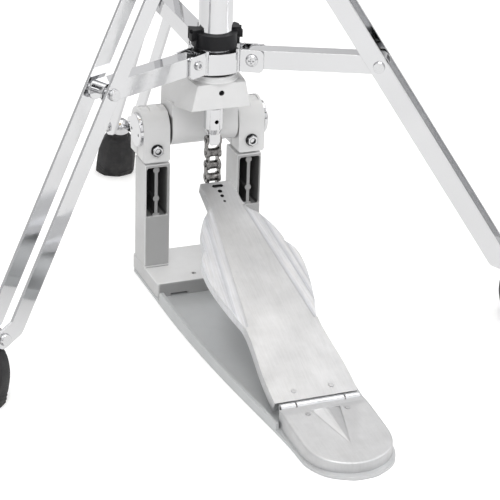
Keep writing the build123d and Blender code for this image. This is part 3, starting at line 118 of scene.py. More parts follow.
class Mat(Graph):
    """A material built round one Principled shader, textured in object coordinates."""

    SOCKETS = {
        "base": "Base Color", "rough": "Roughness", "metal": "Metallic", "normal": "Normal",
        "spec": "Specular IOR Level", "coat_rough": "Coat Roughness",
        "sheen": "Sheen Weight", "sheen_rough": "Sheen Roughness",
        "glow": "Emission Color", "glow_strength": "Emission Strength",
    }

    def __init__(self, name):
        self.material = bpy.data.materials.new(name)
        self.material.use_nodes = True
        super().__init__(self.material.node_tree)
        output = self.node("ShaderNodeOutputMaterial")
        self.shader = self.node("ShaderNodeBsdfPrincipled")
        self.put(output.inputs[0], self.shader.outputs[0])
        self.place = self.node("ShaderNodeTexCoord").outputs["Object"]

    def surface(self, **values):
        """Set the shader's inputs and return the finished material."""
        for key, value in values.items():
            self.put(self.shader.inputs[self.SOCKETS[key]], value)
        return self.material

    # coordinates
    def xyz(self):
        return self.split(self.place)

    def normal(self):
        """X, Y and Z parts of the object-space face normal."""
        return self.split(self.node("ShaderNodeTexCoord").outputs["Normal"])

    def stretch(self, scale):
        made = self.node("ShaderNodeMapping")
        self.put(made.inputs["Vector"], self.place)
        made.inputs["Scale"].default_value = scale
        return made.outputs[0]

    def combine(self, *parts):
        made = self.node("ShaderNodeCombineXYZ")
        for socket, part in zip(made.inputs, parts):
            self.put(socket, part)
        return made.outputs[0]

    # textures
    def noise(self, scale, detail=3.0, rough=0.5, at=None, distort=0.0):
        made = self.node("ShaderNodeTexNoise")
        self.put(made.inputs["Vector"], at or self.place)
        made.inputs["Scale"].default_value = scale
        made.inputs["Detail"].default_value = detail
        made.inputs["Roughness"].default_value = rough
        made.inputs["Distortion"].default_value = distort
        return made.outputs[0]

    def voronoi(self, scale):
        made = self.node("ShaderNodeTexVoronoi")
        self.put(made.inputs["Vector"], self.place)
        made.inputs["Scale"].default_value = scale
        return made.outputs[0]

    # arithmetic
    def math(self, operation, a, b=0.0, clamp=False):
        result = super().math(operation, a, b, clamp)
        result.node.inputs[2].default_value = 0.0
        return result

    def mul(self, first, *others):
        for other in others:
            first = self.math("MULTIPLY", first, other)
        return first

    def length(self, a, b):
        return self.math("SQRT", self.math("ADD", self.mul(a, a), self.mul(b, b)))

    def remap(self, value, low, high, to):
        made = self.node("ShaderNodeMapRange")
        self.put(made.inputs[0], value)
        for i, limit in enumerate((low, high, *to)):
            made.inputs[i + 1].default_value = limit
        return made.outputs[0]

    def rise(self, value, low, high):
        return self.remap(value, low, high, to=(0.0, 1.0))

    def fall(self, value, low, high):
        return self.remap(value, low, high, to=(1.0, 0.0))

    def above(self, value, limit, soft):
        return self.rise(value, limit - soft, limit + soft)

    def below(self, value, limit, soft):
        return self.fall(value, limit - soft, limit + soft)

    def threshold(self, value, low, high):
        """A colour ramp from black at low to white at high."""
        return self.ramp(value, [(low, 0.0), (high, 1.0)])

    def over(self, under, mask, colour, amount):
        """Lay a colour over another where the mask is 1, at the given amount."""
        return self.mix(self.mul(mask, amount), under, colour)

    # normals
    def bevel(self, radius):
        made = self.node("ShaderNodeBevel", samples=4)
        made.inputs["Radius"].default_value = radius
        return made.outputs[0]

    def bump(self, height, strength, distance, normal=None):
        made = self.node("ShaderNodeBump")
        made.inputs["Strength"].default_value = strength
        made.inputs["Distance"].default_value = distance
        self.put(made.inputs["Height"], height)
        if normal is not None:
            self.put(made.inputs["Normal"], normal)
        return made.outputs[0]

    def edge(self, radius, low=0.02, high=0.30):
        """1 on edges, 0 on faces: how far the rounded normal leans from the true one."""
        dot = self.node("ShaderNodeVectorMath", operation="DOT_PRODUCT")
        self.put(dot.inputs[0], self.bevel(radius))
        self.put(dot.inputs[1], self.node("ShaderNodeNewGeometry").outputs["Normal"])
        return self.rise(self.math("SUBTRACT", 1.0, dot.outputs["Value"]), low, high)


def scaled(colour, factor):
    return tuple(c * factor for c in colour)


# ---------------------------------------------------------------------------
# masks
# ---------------------------------------------------------------------------
def window(mat, low, high, soft):
    """1 inside a box between two corners, mirrored in x; None leaves a side open."""
    x, y, z = mat.xyz()
    if low[0] is not None or high[0] is not None:
        x = mat.math("ABSOLUTE", x)
    limits = []
    for value, start, end in zip((x, y, z), low, high):
        if start is not None:
            limits.append(mat.above(value, start, soft))
        if end is not None:
            limits.append(mat.below(value, end, soft))
    return mat.mul(*limits)


def bore(mat, height, radius, start_y):
    """1 inside a round bore along Y at x = 0, from start_y to y = 0."""
    soft = 0.00015
    x, y, z = mat.xyz()
    from_axis = mat.length(mat.math("SUBTRACT", x, 0.0), mat.math("SUBTRACT", z, height))
    return mat.mul(mat.below(from_axis, radius, soft),
                   mat.above(y, start_y, soft), mat.below(y, 0.0, soft))


def wedge(mat, left, right, wide_y, tip_y, soft=0.0005):
    """1 inside a triangle in plan: from left..right at wide_y to a point at (0, tip_y)."""
    x, y, z = mat.xyz()
    widening = mat.rise(y, tip_y, wide_y)
    past_left = mat.math("SUBTRACT", x, mat.mul(widening, left))
    before_right = mat.math("SUBTRACT", mat.mul(widening, right), x)
    return mat.mul(mat.above(past_left, 0.0, soft), mat.above(before_right, 0.0, soft),
                   mat.below(y, wide_y, soft=0.0003), mat.above(y, tip_y, soft=0.0002))


def front_mask(mat):
    """1 on faces that look toward the heel (-Y), 0 elsewhere."""
    return mat.rise(mat.mul(mat.normal()[1], -1.0), low=0.80, high=0.97)


def side_mask(mat, low=0.80, high=0.97):
    """1 on faces that look toward -X or +X."""
    return mat.rise(mat.math("ABSOLUTE", mat.normal()[0]), low, high)


# ---------------------------------------------------------------------------
# local shading: each takes a material and its colour, and returns the new colour
# ---------------------------------------------------------------------------
def shade_heel(mat, col):
    """Triangular recess with a painted highlight on the left facet and painted shade on the right
    one, painted shade along its left rim and beside it.
    """
    # painted shade beside the recess, on the right
    smear_and_painted_shade = wedge(mat, left=0.006, right=0.034, wide_y=-0.285, tip_y=-0.352, soft=0.004)
    col = mat.over(col, smear_and_painted_shade, (0.34, 0.34, 0.345), amount=0.20)
    # painted highlight on the left facet
    painted_highlight_facet = wedge(mat, left=-0.0132, right=0.0, wide_y=-0.2878, tip_y=-0.343)
    col = mat.over(col, painted_highlight_facet, (0.86, 0.86, 0.87), amount=0.24)
    # painted shade on the right facet
    dull_and_painted_shade = wedge(mat, left=0.0, right=0.0132, wide_y=-0.2878, tip_y=-0.343)
    col = mat.over(col, dull_and_painted_shade, (0.36, 0.36, 0.365), amount=0.20)
    # painted shade along the recess's left rim
    rim = wedge(mat, left=-0.0150, right=-0.0128, wide_y=-0.2878, tip_y=-0.345, soft=0.0004)
    return mat.over(col, rim, (0.30, 0.30, 0.305), amount=0.22)


BOARD_START_Y = -0.2681     # y where distance along the footboard is 0
BOARD_RUN = 0.938           # y covered by each unit of distance along the board
BOARD_TAPER = 0.1059        # narrowing of the middle strip's half width per unit along
WING_END = 0.242            # distance along at which the wings end
WING_END_HALF = 0.0160      # half width of the middle strip there
SLOT_ALONG = 0.2680         # distance along of the slot's centre


def shade_board(mat, col):
    """Wings paler than the linished middle, a tip that darkens toward its end, painted highlight
    on the faces that look sideways and painted shade in the openings.
    """
    x, y, z = mat.xyz()
    aside = mat.math("ABSOLUTE", x)
    along = mat.mul(mat.math("ADD", y, -BOARD_START_Y), 1.0 / BOARD_RUN)

    half = mat.mul(mat.math("SUBTRACT", WING_END, along), BOARD_TAPER)
    half = mat.math("ADD", half, WING_END_HALF)
    wing = mat.mul(mat.rise(mat.math("SUBTRACT", aside, half), low=-0.0006, high=0.0012),
                   mat.rise(along, low=0.088, high=0.094),
                   mat.fall(along, low=0.236, high=WING_END))
    # streaks run parallel to the tapering edge
    lane = mat.combine(
        mat.mul(mat.math("ADD", aside, mat.mul(along, BOARD_TAPER)), 900.0),  # across
        mat.mul(along, 26.0))                                                # lengthwise
    streak = mat.remap(mat.noise(scale=1.0, detail=4, rough=0.6, at=lane),
                       low=0.35, high=0.65, to=(0.16, 0.50))
    col = mat.over(col, wing, (0.80, 0.815, 0.86), amount=streak)

    tip = mat.remap(along, low=0.216, high=0.262, to=(0.0, 0.34))
    col = mat.mix(tip, col, (0.36, 0.36, 0.365))
    heel_end = mat.remap(along, low=0.02, high=0.16, to=(0.06, 0.0))
    col = mat.mix(heel_end, col, (0.80, 0.80, 0.805))
    # painted highlight on the faces that look sideways
    col = mat.over(col, side_mask(mat, low=0.6, high=0.9), (0.86, 0.86, 0.87), amount=0.36)

    from_slot = mat.math("ABSOLUTE", mat.math("SUBTRACT", along, SLOT_ALONG))
    slot = mat.mul(mat.fall(aside, low=0.0062, high=0.0066),
                   mat.fall(from_slot, low=0.0045, high=0.0050))
    bores = mat.mul(mat.fall(aside, low=0.0024, high=0.0028),
                    mat.mul(mat.rise(along, low=0.2440, high=0.2444),
                            mat.fall(along, low=0.2644, high=0.2648)))
    # painted shade on the walls of the openings only, not on the faces that look up
    walls = mat.mul(mat.math("MAXIMUM", slot, bores),
                    mat.fall(mat.normal()[2], low=0.55, high=0.8))
    return mat.over(col, walls, (0.02, 0.02, 0.022), amount=0.94)


CAP_BOLT_X, CAP_BOLT_Z = 0.0482, 0.140      # axes of the cap bolts, mirrored in x


def shade_cap_bolt(mat, col):
    """Painted dark reflection on the flats, painted shadow on the washer behind the head and a
    ring of painted shade round the bolt's axis.
    """
    x, y, z = mat.xyz()
    # painted dark reflection on the faces that do not look toward the heel
    flats = mat.fall(mat.mul(mat.normal()[1], -1.0), low=0.55, high=0.9)
    col = mat.over(col, flats, (0.025, 0.025, 0.028), amount=0.90)
    # painted shadow on the washer behind the head
    washer = mat.remap(y, low=0.0204, high=0.0208, to=(0.0, 0.94))
    col = mat.mix(washer, col, (0.02, 0.02, 0.022))
    # a ring of painted shade round the bolt's axis
    from_axis = mat.length(mat.math("SUBTRACT", mat.math("ABSOLUTE", x), CAP_BOLT_X),
                           mat.math("SUBTRACT", z, CAP_BOLT_Z))
    ring = mat.mul(mat.rise(from_axis, low=0.0021, high=0.0025),
                   mat.fall(from_axis, low=0.0030, high=0.0034))
    return mat.over(col, ring, (0.03, 0.03, 0.033), amount=0.85)


def shade_yoke(mat, col):
    """Painted shade in the depths of the pockets and round their rims, on the front and side
    faces and low on the crosspiece.
    """
    pocket_far = (0.0584, 0.0515, 0.1223)
    # painted shade in the depths of the pockets, and lighter round their rims
    deep_pocket_shade = window(mat, (0.0366, 0.0258, 0.0705), pocket_far, soft=0.0004)
    rim = window(mat, (0.0366, 0.0236, 0.0705), pocket_far, soft=0.0004)
    # painted shade low on the crosspiece
    low = window(mat, (None, None, None), (None, -0.0138, 0.0158), soft=0.0008)
    opening = window(mat, (0.0368, None, 0.0707), (0.0582, None, 0.1221), soft=0.0002)
    outside = mat.math("SUBTRACT", 1.0, mat.mul(opening, 0.75))
    # painted shade on the faces toward the heel, less inside the pocket openings
    front = mat.mul(front_mask(mat), outside)
    # lay each painted shade over the colour
    for mask, grey, amount in (
        (front, 0.02, 0.50),
        (side_mask(mat), 0.05, 0.20),
        (rim, 0.16, 0.16),
        (deep_pocket_shade, 0.012, 0.93),
        (low, 0.05, 0.22),
    ):
        col = mat.over(col, mask, (grey,) * 3, amount)
    return col


# colour of the painted shade inside the bores
BORE_PAINTED_SHADE = (0.004, 0.004, 0.004)


def shade_block(mat, col):
    """Dark low outer parts, painted shade on the side faces and painted shade in the bore."""
    x, y, z = mat.xyz()
    outer = mat.remap(mat.math("ABSOLUTE", x), low=0.0328, high=0.0336, to=(0.0, 0.85))
    col = mat.over(col, outer, (0.02, 0.02, 0.02), amount=mat.fall(z, low=0.171, high=0.174))
    # painted shade on the faces that look sideways
    col = mat.over(col, side_mask(mat, low=0.7, high=0.95), (0.05, 0.05, 0.05), amount=0.16)
    # painted shade in the bore
    return mat.mix(bore(mat, height=0.2081, radius=0.0027, start_y=-0.0198), col, BORE_PAINTED_SHADE)


def shade_connector(mat, col):
    # painted shade in the connector's bore
    return mat.mix(bore(mat, height=0.1752, radius=0.0020, start_y=-0.0096), col, BORE_PAINTED_SHADE)


def shade_deck(mat, col):
    """Paler toward the heel end."""
    lip = mat.fall(mat.xyz()[1], low=-0.345, high=-0.325)
    return mat.over(col, lip, (0.56, 0.56, 0.565), amount=0.60)


def shade_bolt(mat, col):
    """Painted dark reflections on the edges and corners of small plated hardware."""
    edge = mat.edge(radius=0.0007, low=0.01, high=0.22)
    return mat.over(col, edge, (0.05, 0.05, 0.055), amount=0.85)


# ---------------------------------------------------------------------------
# materials
# ---------------------------------------------------------------------------
def chrome(name, rough=(0.035, 0.11), shade=None):
    """Bright plate with smears, specks of dust and a faint waver."""
    mat = Mat(name)
    base = (0.66, 0.662, 0.671)
    smear_and_painted_shade = mat.noise(scale=38, detail=4, rough=0.55)
    dust = mat.threshold(mat.noise(scale=240, rough=0.65), low=0.58, high=0.72)
    dull_and_painted_shade = mat.remap(smear_and_painted_shade, low=0.35, high=0.7, to=rough)
    dull_and_painted_shade = mat.math("ADD", dull_and_painted_shade, mat.mul(dust, 0.05))
    cloud = mat.rise(mat.noise(scale=14), low=0.35, high=0.65)
    col = mat.mix(cloud, base, scaled(base, 0.965))
    waver = mat.noise(scale=22, detail=2, rough=0.4)
    fine = mat.noise(scale=900, detail=2, rough=0.6)
    normal = mat.bump(waver, strength=0.10, distance=0.0006, normal=mat.bevel(0.0006))
    normal = mat.bump(fine, strength=0.02, distance=0.0001, normal=normal)
    if shade:
        col = shade(mat, col)
    return mat.surface(base=col, metal=1.0, rough=dull_and_painted_shade, normal=normal)


def satin_paint(name, base, grain=1500, rough=(0.32, 0.46), metal=0.0, flake=0.08, shade=None):
    """Satin paint: fine grain, blotches, chipped edges and a trace of grime."""
    mat = Mat(name)
    speck = mat.noise(scale=grain, rough=0.6)
    blotch = mat.noise(scale=26, detail=4, rough=0.55)
    col = mat.mix(mat.rise(blotch, low=0.3, high=0.7), scaled(base, 1.02), scaled(base, 0.965))
    col = mat.over(col, mat.rise(speck, low=0.35, high=0.65), scaled(base, 1.12), amount=flake)
    broken = mat.threshold(mat.noise(scale=420, detail=4, rough=0.7), low=0.52, high=0.60)
    chip = mat.math("MULTIPLY", mat.edge(radius=0.0009), broken, clamp=True)
    col = mat.over(col, chip, (0.80, 0.80, 0.81), amount=0.55)
    grime = mat.threshold(mat.noise(scale=70, detail=5, rough=0.6), low=0.50, high=0.75)
    col = mat.over(col, grime, scaled(base, 0.6), amount=0.07)
    if shade:
        col = shade(mat, col)
    return mat.surface(
        base=col, metal=metal, coat_rough=0.25,
        rough=mat.remap(blotch, low=0.3, high=0.7, to=rough),
        normal=mat.bump(speck, strength=0.12, distance=0.00012, normal=mat.bevel(0.0009)))


def cast_alu(name, base, shade=None):
    """Cast aluminium linished along its length: fine scratches, pits and cloudy tone."""
    mat = Mat(name)
    scratch = mat.noise(scale=1.0, detail=5, rough=0.65, at=mat.stretch((2600, 90, 240)))
    band = mat.noise(scale=1.0, rough=0.6, at=mat.stretch((800, 34, 90)))
    cloud = mat.noise(scale=30, detail=5, rough=0.6)
    mottle = mat.noise(scale=95, detail=4, rough=0.6)
    pits = mat.ramp(mat.voronoi(scale=620), [(0.0, 1.0), (0.10, 1.0), (0.20, 0.0)])
    pits = mat.mul(pits, mat.threshold(mat.noise(scale=150, detail=2), low=0.50, high=0.60))
    col = mat.mix(mat.rise(cloud, low=0.32, high=0.68), scaled(base, 1.02), scaled(base, 0.88))
    col = mat.over(col, mat.rise(mottle, low=0.35, high=0.7), scaled(base, 0.84), amount=0.35)
    col = mat.over(col, mat.rise(band, low=0.35, high=0.65), (0.70, 0.70, 0.71), amount=0.22)
    col = mat.over(col, pits, (0.34, 0.34, 0.35), amount=0.35)
    col = mat.over(col, mat.edge(radius=0.0012), (0.80, 0.80, 0.81), amount=0.50)
    if shade:
        col = shade(mat, col)
    rough = mat.math("ADD", mat.remap(cloud, low=0.3, high=0.7, to=(0.40, 0.52)),
                     mat.mul(mat.rise(scratch, low=0.3, high=0.7), 0.10))
    height = mat.math("ADD", mat.mul(scratch, 0.6), mat.mul(mottle, 1.2))
    height = mat.math("SUBTRACT", height, mat.mul(pits, 0.9))
    normal = mat.bump(height, strength=0.22, distance=0.00022, normal=mat.bevel(0.0011))
    return mat.surface(base=col, metal=1.0, rough=rough, normal=normal)


def bright_steel(name):
    """Sheet steel brushed along X."""
    mat = Mat(name)
    base = (0.78, 0.785, 0.80)
    brush = mat.noise(scale=1.0, detail=4, rough=0.6, at=mat.stretch((180, 1600, 1600)))
    cloud = mat.noise(scale=60, detail=4, rough=0.6)
    col = mat.mix(mat.rise(cloud, low=0.3, high=0.7), base, scaled(base, 0.88))
    col = mat.over(col, mat.edge(radius=0.0006), (0.93, 0.93, 0.94), amount=0.4)
    return mat.surface(
        base=col, metal=1.0, rough=mat.remap(brush, low=0.3, high=0.7, to=(0.16, 0.30)),
        normal=mat.bump(brush, strength=0.10, distance=0.00008, normal=mat.bevel(0.0006)))


def dark_steel(name):
    """Dark mottled steel with painted highlights on its edges and glossier oiled patches."""
    mat = Mat(name)
    mottle = mat.noise(scale=210, detail=5, rough=0.65)
    col = mat.ramp(mottle, [(0.30, (0.065, 0.062, 0.060)), (0.50, (0.20, 0.193, 0.188)),
                            (0.70, (0.44, 0.425, 0.415))])
    # painted highlight on the edges
    col = mat.over(col, mat.edge(radius=0.0007, high=0.28), (0.74, 0.73, 0.71), amount=0.80)
    oil = mat.threshold(mat.noise(scale=90), low=0.42, high=0.62)
    rough = mat.math("SUBTRACT", mat.remap(mottle, low=0.3, high=0.7, to=(0.26, 0.40)),
                     mat.mul(oil, 0.14))
    normal = mat.bump(mottle, strength=0.16, distance=0.00012, normal=mat.bevel(0.0006))
    return mat.surface(base=col, metal=1.0, rough=rough, normal=normal)


def plastic(name):
    """Black moulded plastic with a fine cell grain."""
    mat = Mat(name)
    base = (0.007, 0.007, 0.008)
    grain = mat.voronoi(scale=1500)
    cloud = mat.noise(scale=55, detail=4, rough=0.6)
    col = mat.mix(mat.rise(cloud, low=0.3, high=0.7), base, scaled(base, 1.9))
    col = mat.over(col, mat.edge(radius=0.0008), (0.045, 0.045, 0.049), amount=0.5)
    return mat.surface(
        base=col, metal=0.0, spec=0.22,
        rough=mat.remap(cloud, low=0.3, high=0.7, to=(0.36, 0.52)),
        normal=mat.bump(grain, strength=0.14, distance=0.00012, normal=mat.bevel(0.0008)))


def rubber(name):
    """Black rubber, dustier near the floor."""
    mat = Mat(name)
    grain = mat.noise(scale=1100, detail=4, rough=0.6)
    cloud = mat.noise(scale=60, detail=5, rough=0.6)
    col = mat.mix(mat.rise(cloud, low=0.3, high=0.7), (0.010, 0.010, 0.011),
                  (0.022, 0.021, 0.022))
    dust = mat.threshold(mat.noise(scale=120, detail=4, rough=0.65), low=0.46, high=0.7)
    near_floor = mat.remap(mat.xyz()[2], low=0.0, high=0.012, to=(0.50, 0.10))
    col = mat.over(col, dust, (0.085, 0.082, 0.077), amount=near_floor)
    col = mat.over(col, mat.edge(radius=0.0009), (0.075, 0.074, 0.074), amount=0.45)
    return mat.surface(
        base=col, metal=0.0, spec=0.4,
        rough=mat.remap(grain, low=0.3, high=0.7, to=(0.52, 0.74)),
        normal=mat.bump(grain, strength=0.20, distance=0.0002, normal=mat.bevel(0.0007)))


def felt(name):
    """Dark felt: fine fibres over soft tufts."""
    mat = Mat(name)
    base = (0.045, 0.046, 0.05)
    fibre = mat.noise(scale=1400, detail=6, rough=0.75, at=mat.stretch((1, 1, 2.4)), distort=1.5)
    tuft = mat.noise(scale=260, detail=4, rough=0.6)
    col = mat.mix(mat.rise(fibre, low=0.32, high=0.68), scaled(base, 0.6), scaled(base, 2.0))
    col = mat.over(col, mat.rise(tuft, low=0.4, high=0.7), scaled(base, 2.6), amount=0.3)
    height = mat.math("ADD", mat.mul(fibre, 0.7), tuft)
    return mat.surface(base=col, metal=0.0, rough=0.95, sheen=0.7, sheen_rough=0.5, spec=0.15,
                       normal=mat.bump(height, strength=0.7, distance=0.0006))


def bronze(name):
    """Lathed bronze: circular grooves, cloudy tone and a dark centre."""
    mat = Mat(name)
    x, y, z = mat.xyz()
    radius = mat.length(x, y)
    rings = mat.combine(radius)
    fine = mat.noise(scale=1700, detail=2, rough=0.7, at=rings)
    coarse = mat.noise(scale=420, rough=0.6, at=rings)
    cloud = mat.noise(scale=16, detail=4, rough=0.55)
    col = mat.ramp(coarse, [(0.30, (0.70, 0.50, 0.20)), (0.5, (0.83, 0.63, 0.30)),
                            (0.70, (0.90, 0.72, 0.38))])
    col = mat.over(col, mat.rise(fine, low=0.35, high=0.65), (0.62, 0.43, 0.17), amount=0.35)
    col = mat.over(col, mat.rise(cloud, low=0.35, high=0.7), (0.60, 0.40, 0.16), amount=0.28)
    dirt = mat.ramp(radius, [(0.0, 1.0), (0.018, 0.55), (0.045, 0.0)])
    col = mat.over(col, dirt, (0.30, 0.19, 0.08), amount=0.5)
    height = mat.math("ADD", fine, mat.mul(coarse, 0.6))
    return mat.surface(base=col, metal=1.0,
                       rough=mat.remap(fine, low=0.3, high=0.7, to=(0.20, 0.36)),
                       normal=mat.bump(height, strength=0.25, distance=0.00015))


CASTING_GREY = (0.70, 0.70, 0.70)
RIVET_GREY = (0.50, 0.50, 0.505)

# by material slot
MAT = {
    "chrome": chrome("chrome_plate"),
    "grey_paint": satin_paint("satin_grey_casting", CASTING_GREY),
    "steel_plate": satin_paint("satin_base_plate", (0.53, 0.542, 0.547), grain=1100,
                               rough=(0.30, 0.42), metal=0.30, flake=0.20, shade=shade_deck),
    "cast_aluminium": cast_alu("linished_cast_aluminium", (0.64, 0.642, 0.646)),
    "bright_steel": bright_steel("bright_steel_sheet"),
    "dark_steel": dark_steel("oiled_chain_steel"),
    "black_plastic": plastic("moulded_black_plastic"),
    "rubber": rubber("moulded_rubber"),
    "felt": felt("pressed_felt"),
    "cymbal_bronze": bronze("lathed_bronze"),
}
# by node, in place of the slot's material
OWN = {
    "footboard": cast_alu("linished_footboard", (0.57, 0.572, 0.576), shade=shade_board),
    "heel_plate": cast_alu("linished_heel", (0.63, 0.632, 0.636), shade=shade_heel),
    "footboard_rivets": cast_alu("riveted_aluminium", RIVET_GREY),
    "heel_rivets": cast_alu("riveted_aluminium_heel", RIVET_GREY),
    # hinge pin in dark steel, so the gaps between the knuckles show painted shade
    "hinge_pin": dark_steel("hinge_pin_painted_shade"),
    "chain_anchor": dark_steel("dark_chain_anchor"),
    "yoke": satin_paint("satin_grey_yoke", CASTING_GREY, shade=shade_yoke),
    "column_block": satin_paint("satin_grey_block", CASTING_GREY, shade=shade_block),
    "rod_connector": chrome("chrome_connector", shade=shade_connector),
    "cap_bolts": chrome("chrome_bolt", rough=(0.10, 0.2), shade=shade_cap_bolt),
    "hub_bolts": chrome("chrome_hub_bolt", rough=(0.08, 0.18), shade=shade_bolt),
    "block_set_screw": plastic("black_set_screw"),
}
fittings = chrome("chrome_fittings", rough=(0.16, 0.28))
for tag in ("back", "left", "right"):
    OWN["leg_fittings_" + tag] = fittings


def dress_nodes():
    """Give every CAD piece its own material or its slot's."""
    slots = {part["node"]: part["material_slot"] for part in RECORD["subparts"]}
    for name, ob in NODES.items():
        material = OWN.get(name, MAT[slots[name]])
        held = ob.data.materials
        if len(held) == 0:
            held.append(material)
        for i in range(len(held)):
            held[i] = material


dress_nodes()


# ---------------------------------------------------------------------------
# turned pieces
# ---------------------------------------------------------------------------
def body_of_node(node):
    for body, members in RECORD["behaviour"]["bodies"].items():
        if node in members:
            return body
    return "root"


def turned(profile, segments, warp, place=None):
    """Vertices and faces of a turned shape.

    The profile is (radius, z), either open with both ends on the axis or a closed ring off it.
    """
    angle = np.arange(segments) * 2 * math.pi / segments
    poles = profile[0][0] < 1e-9
    rows = profile[1:-1] if poles else profile
    radius = np.array([p[0] for p in rows])[:, None]
    z = np.array([p[1] for p in rows])[:, None]
    grid = np.stack([radius * np.cos(angle), radius * np.sin(angle), z + 0 * angle], 2)
    verts = warp(grid, radius, z, angle).reshape(-1, 3)
    count = len(rows)
    faces = []
    for i in range(count - 1 if poles else count):
        row, above = i * segments, ((i + 1) % count) * segments
        for k in range(segments):
            after = (k + 1) % segments
            faces.append((row + k, row + after, above + after, above + k))
    if poles:
        verts = np.vstack([verts, [[0, 0, profile[0][1]], [0, 0, profile[-1][1]]]])
        first, last = count * segments, (count - 1) * segments
        for k in range(segments):
            after = (k + 1) % segments
            faces.append((first, after, k))
            faces.append((first + 1, last + k, last + after))
    if place is not None:
        matrix = np.array(place, float)
        verts = verts @ matrix[:3, :3].T + matrix[:3, 3]
    return verts, faces


def make_piece(name, parts, node, slot):
    """Join turned parts into one smooth object that stands in for a CAD node."""
    mesh = bpy.data.meshes.new(name)
    verts, faces, offset = [], [], 0
    for part_verts, part_faces in parts:
        verts.append(part_verts)
        faces += [tuple(i + offset for i in face) for face in part_faces]
        offset += len(part_verts)
    mesh.from_pydata(np.vstack(verts).tolist(), [], faces)
    mesh.update()
    bm = bmesh.new()
    bm.from_mesh(mesh)
    bmesh.ops.recalc_face_normals(bm, faces=bm.faces[:])
    bm.to_mesh(mesh)
    bm.free()
    for polygon in mesh.polygons:
        polygon.use_smooth = True
    ob = bpy.data.objects.new(name, mesh)
    scene.collection.objects.link(ob)
    mesh.materials.append(MAT[slot])
    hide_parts(node)
    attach(ob, body_of_node(node))


def smooth_line(points, step):
    """Points along a Catmull-Rom curve through the given points, about step apart."""
    line = np.array(points, float)
    line = np.vstack([2 * line[0] - line[1], line, 2 * line[-1] - line[-2]])
    out = []
    for i in range(1, len(line) - 2):
        before, start, end, after = line[i - 1:i + 3]
        count = max(2, int(np.linalg.norm(end - start) / step))
        for t in np.linspace(0, 1, count, endpoint=False):
            out.append(0.5 * (
                (2 * start) + (end - before) * t
                + (2 * before - 5 * start + 4 * end - after) * t * t
                + (3 * start - before - 3 * end + after) * t ** 3))
    out.append(line[-2])
    return [tuple(p) for p in out]


# ---------------------------------------------------------------------------
# rubber boots
# ---------------------------------------------------------------------------
BOOT_REACH = 0.309                      # stand axis to the boot's origin
BOOT_OUT, BOOT_UP = -0.28559, 0.95835   # outward and upward parts of the boot's axis
BOOT_FOOT = -11.9                       # mm, station of the flat end
BOOT_FOOT_R = 0.02155
BOOT_FLARE = 0.0002                     # radius gained up to the first outline point
# (station along the axis, radius), mm
BOOT_OUTLINE = [(8, 21.75), (23, 21.35), (31, 20.35), (38, 18.35), (44, 15.85), (48.5, 13.15),
                (50.4, 11.0)]
# (station, width, depth) of the grooves, mm: five round the foot, one at the throat
BOOT_GROOVES = ((-2.0, 0.5, 0.7), (1.6, 0.5, 0.7), (5.2, 0.5, 0.7), (8.8, 0.5, 0.7),
                (12.4, 0.5, 0.6), (47.2, 0.6, 0.4))
# (radius, station) from the throat in to the axis
BOOT_THROAT = [(0.01085, 0.0512), (0.0109, 0.0545), (0.0105, 0.0558), (0.0092, 0.0559),
               (0.0, 0.0559)]


def boot_profile():
    foot = BOOT_FOOT * MM
    upper = smooth_line([(r * MM, station * MM) for station, r in BOOT_OUTLINE], step=0.0006)
    rise = BOOT_OUTLINE[0][0] - BOOT_FOOT
    lower = [(BOOT_FOOT_R + BOOT_FLARE * t, (BOOT_FOOT + rise * t) * MM)
             for t in np.linspace(0, 1, 34)][:-1]
    out = [(r * MM, foot) for r in (0, 4, 8, 12, 16, 19, 20.8)]
    for radius, station in lower + upper:
        depth = 0.0
        for centre, width, deepest in BOOT_GROOVES:
            depth += deepest * math.exp(-((station / MM - centre) / width) ** 2)
        out.append((radius - depth * MM, station))
    return out + BOOT_THROAT


def rubber_boot(tag, degrees):
    """A boot on the end of one leg, leaning in toward the stand's axis."""
    heading = math.radians(degrees)
    outward = Vector((math.cos(heading), math.sin(heading), 0))
    axis = (outward * BOOT_OUT + Vector((0, 0, BOOT_UP))).normalized()
    side = axis.cross(Vector((0, 0, 1))).normalized()
    place = Matrix((side, axis.cross(side), axis)).transposed().to_4x4()
    place.translation = outward * BOOT_REACH
    phase = np.random.default_rng(11).uniform(0, 6.28, 5)

    def warp(grid, radius, z, angle):
        ripple = np.sin(7 * angle + phase[1]) * np.sin(z * 260 + phase[2])
        scale = 1 + 0.003 * (np.sin(3 * angle + phase[0]) + 0.6 * ripple)
        # eight soft flats down the sides
        from_flat = np.mod(angle + 0.1, math.pi / 4) - math.pi / 8
        flat = math.cos(math.pi / 8) / np.cos(from_flat)
        scale = np.minimum(scale * (1 - 0.62 * (1 - flat)), 1.0)
        grid[..., 0] *= scale
        grid[..., 1] *= scale
        return grid

    verts, faces = turned(boot_profile(), 128, warp, place)
    # points below the floor slide up along the boot's own axis
    along = np.array(axis)
    below = np.minimum(verts[:, 2], 0.0)
    verts -= (below / along[2])[:, None] * along
    make_piece("rubber_boot_" + tag, [(verts, faces)], "rubber_foot_" + tag, "rubber")


for tag, degrees in (("back", 90), ("right", -30), ("left", 210)):
    rubber_boot(tag, degrees)


# ---------------------------------------------------------------------------
# felt washers
# ---------------------------------------------------------------------------
FELT_ROUND = 0.0022         # radial depth of the rounded outer edge
FELT_WAVE = 0.00012         # height of the waves on the flat faces
FELT_FRAY = 0.00013         # random inward shift of the surface
CLUTCH_FELT_HEIGHT = 0.0086
CLUTCH_FELT_BORE = 0.0051   # radius
SEAT_FELT_BORE = 0.0056     # radius


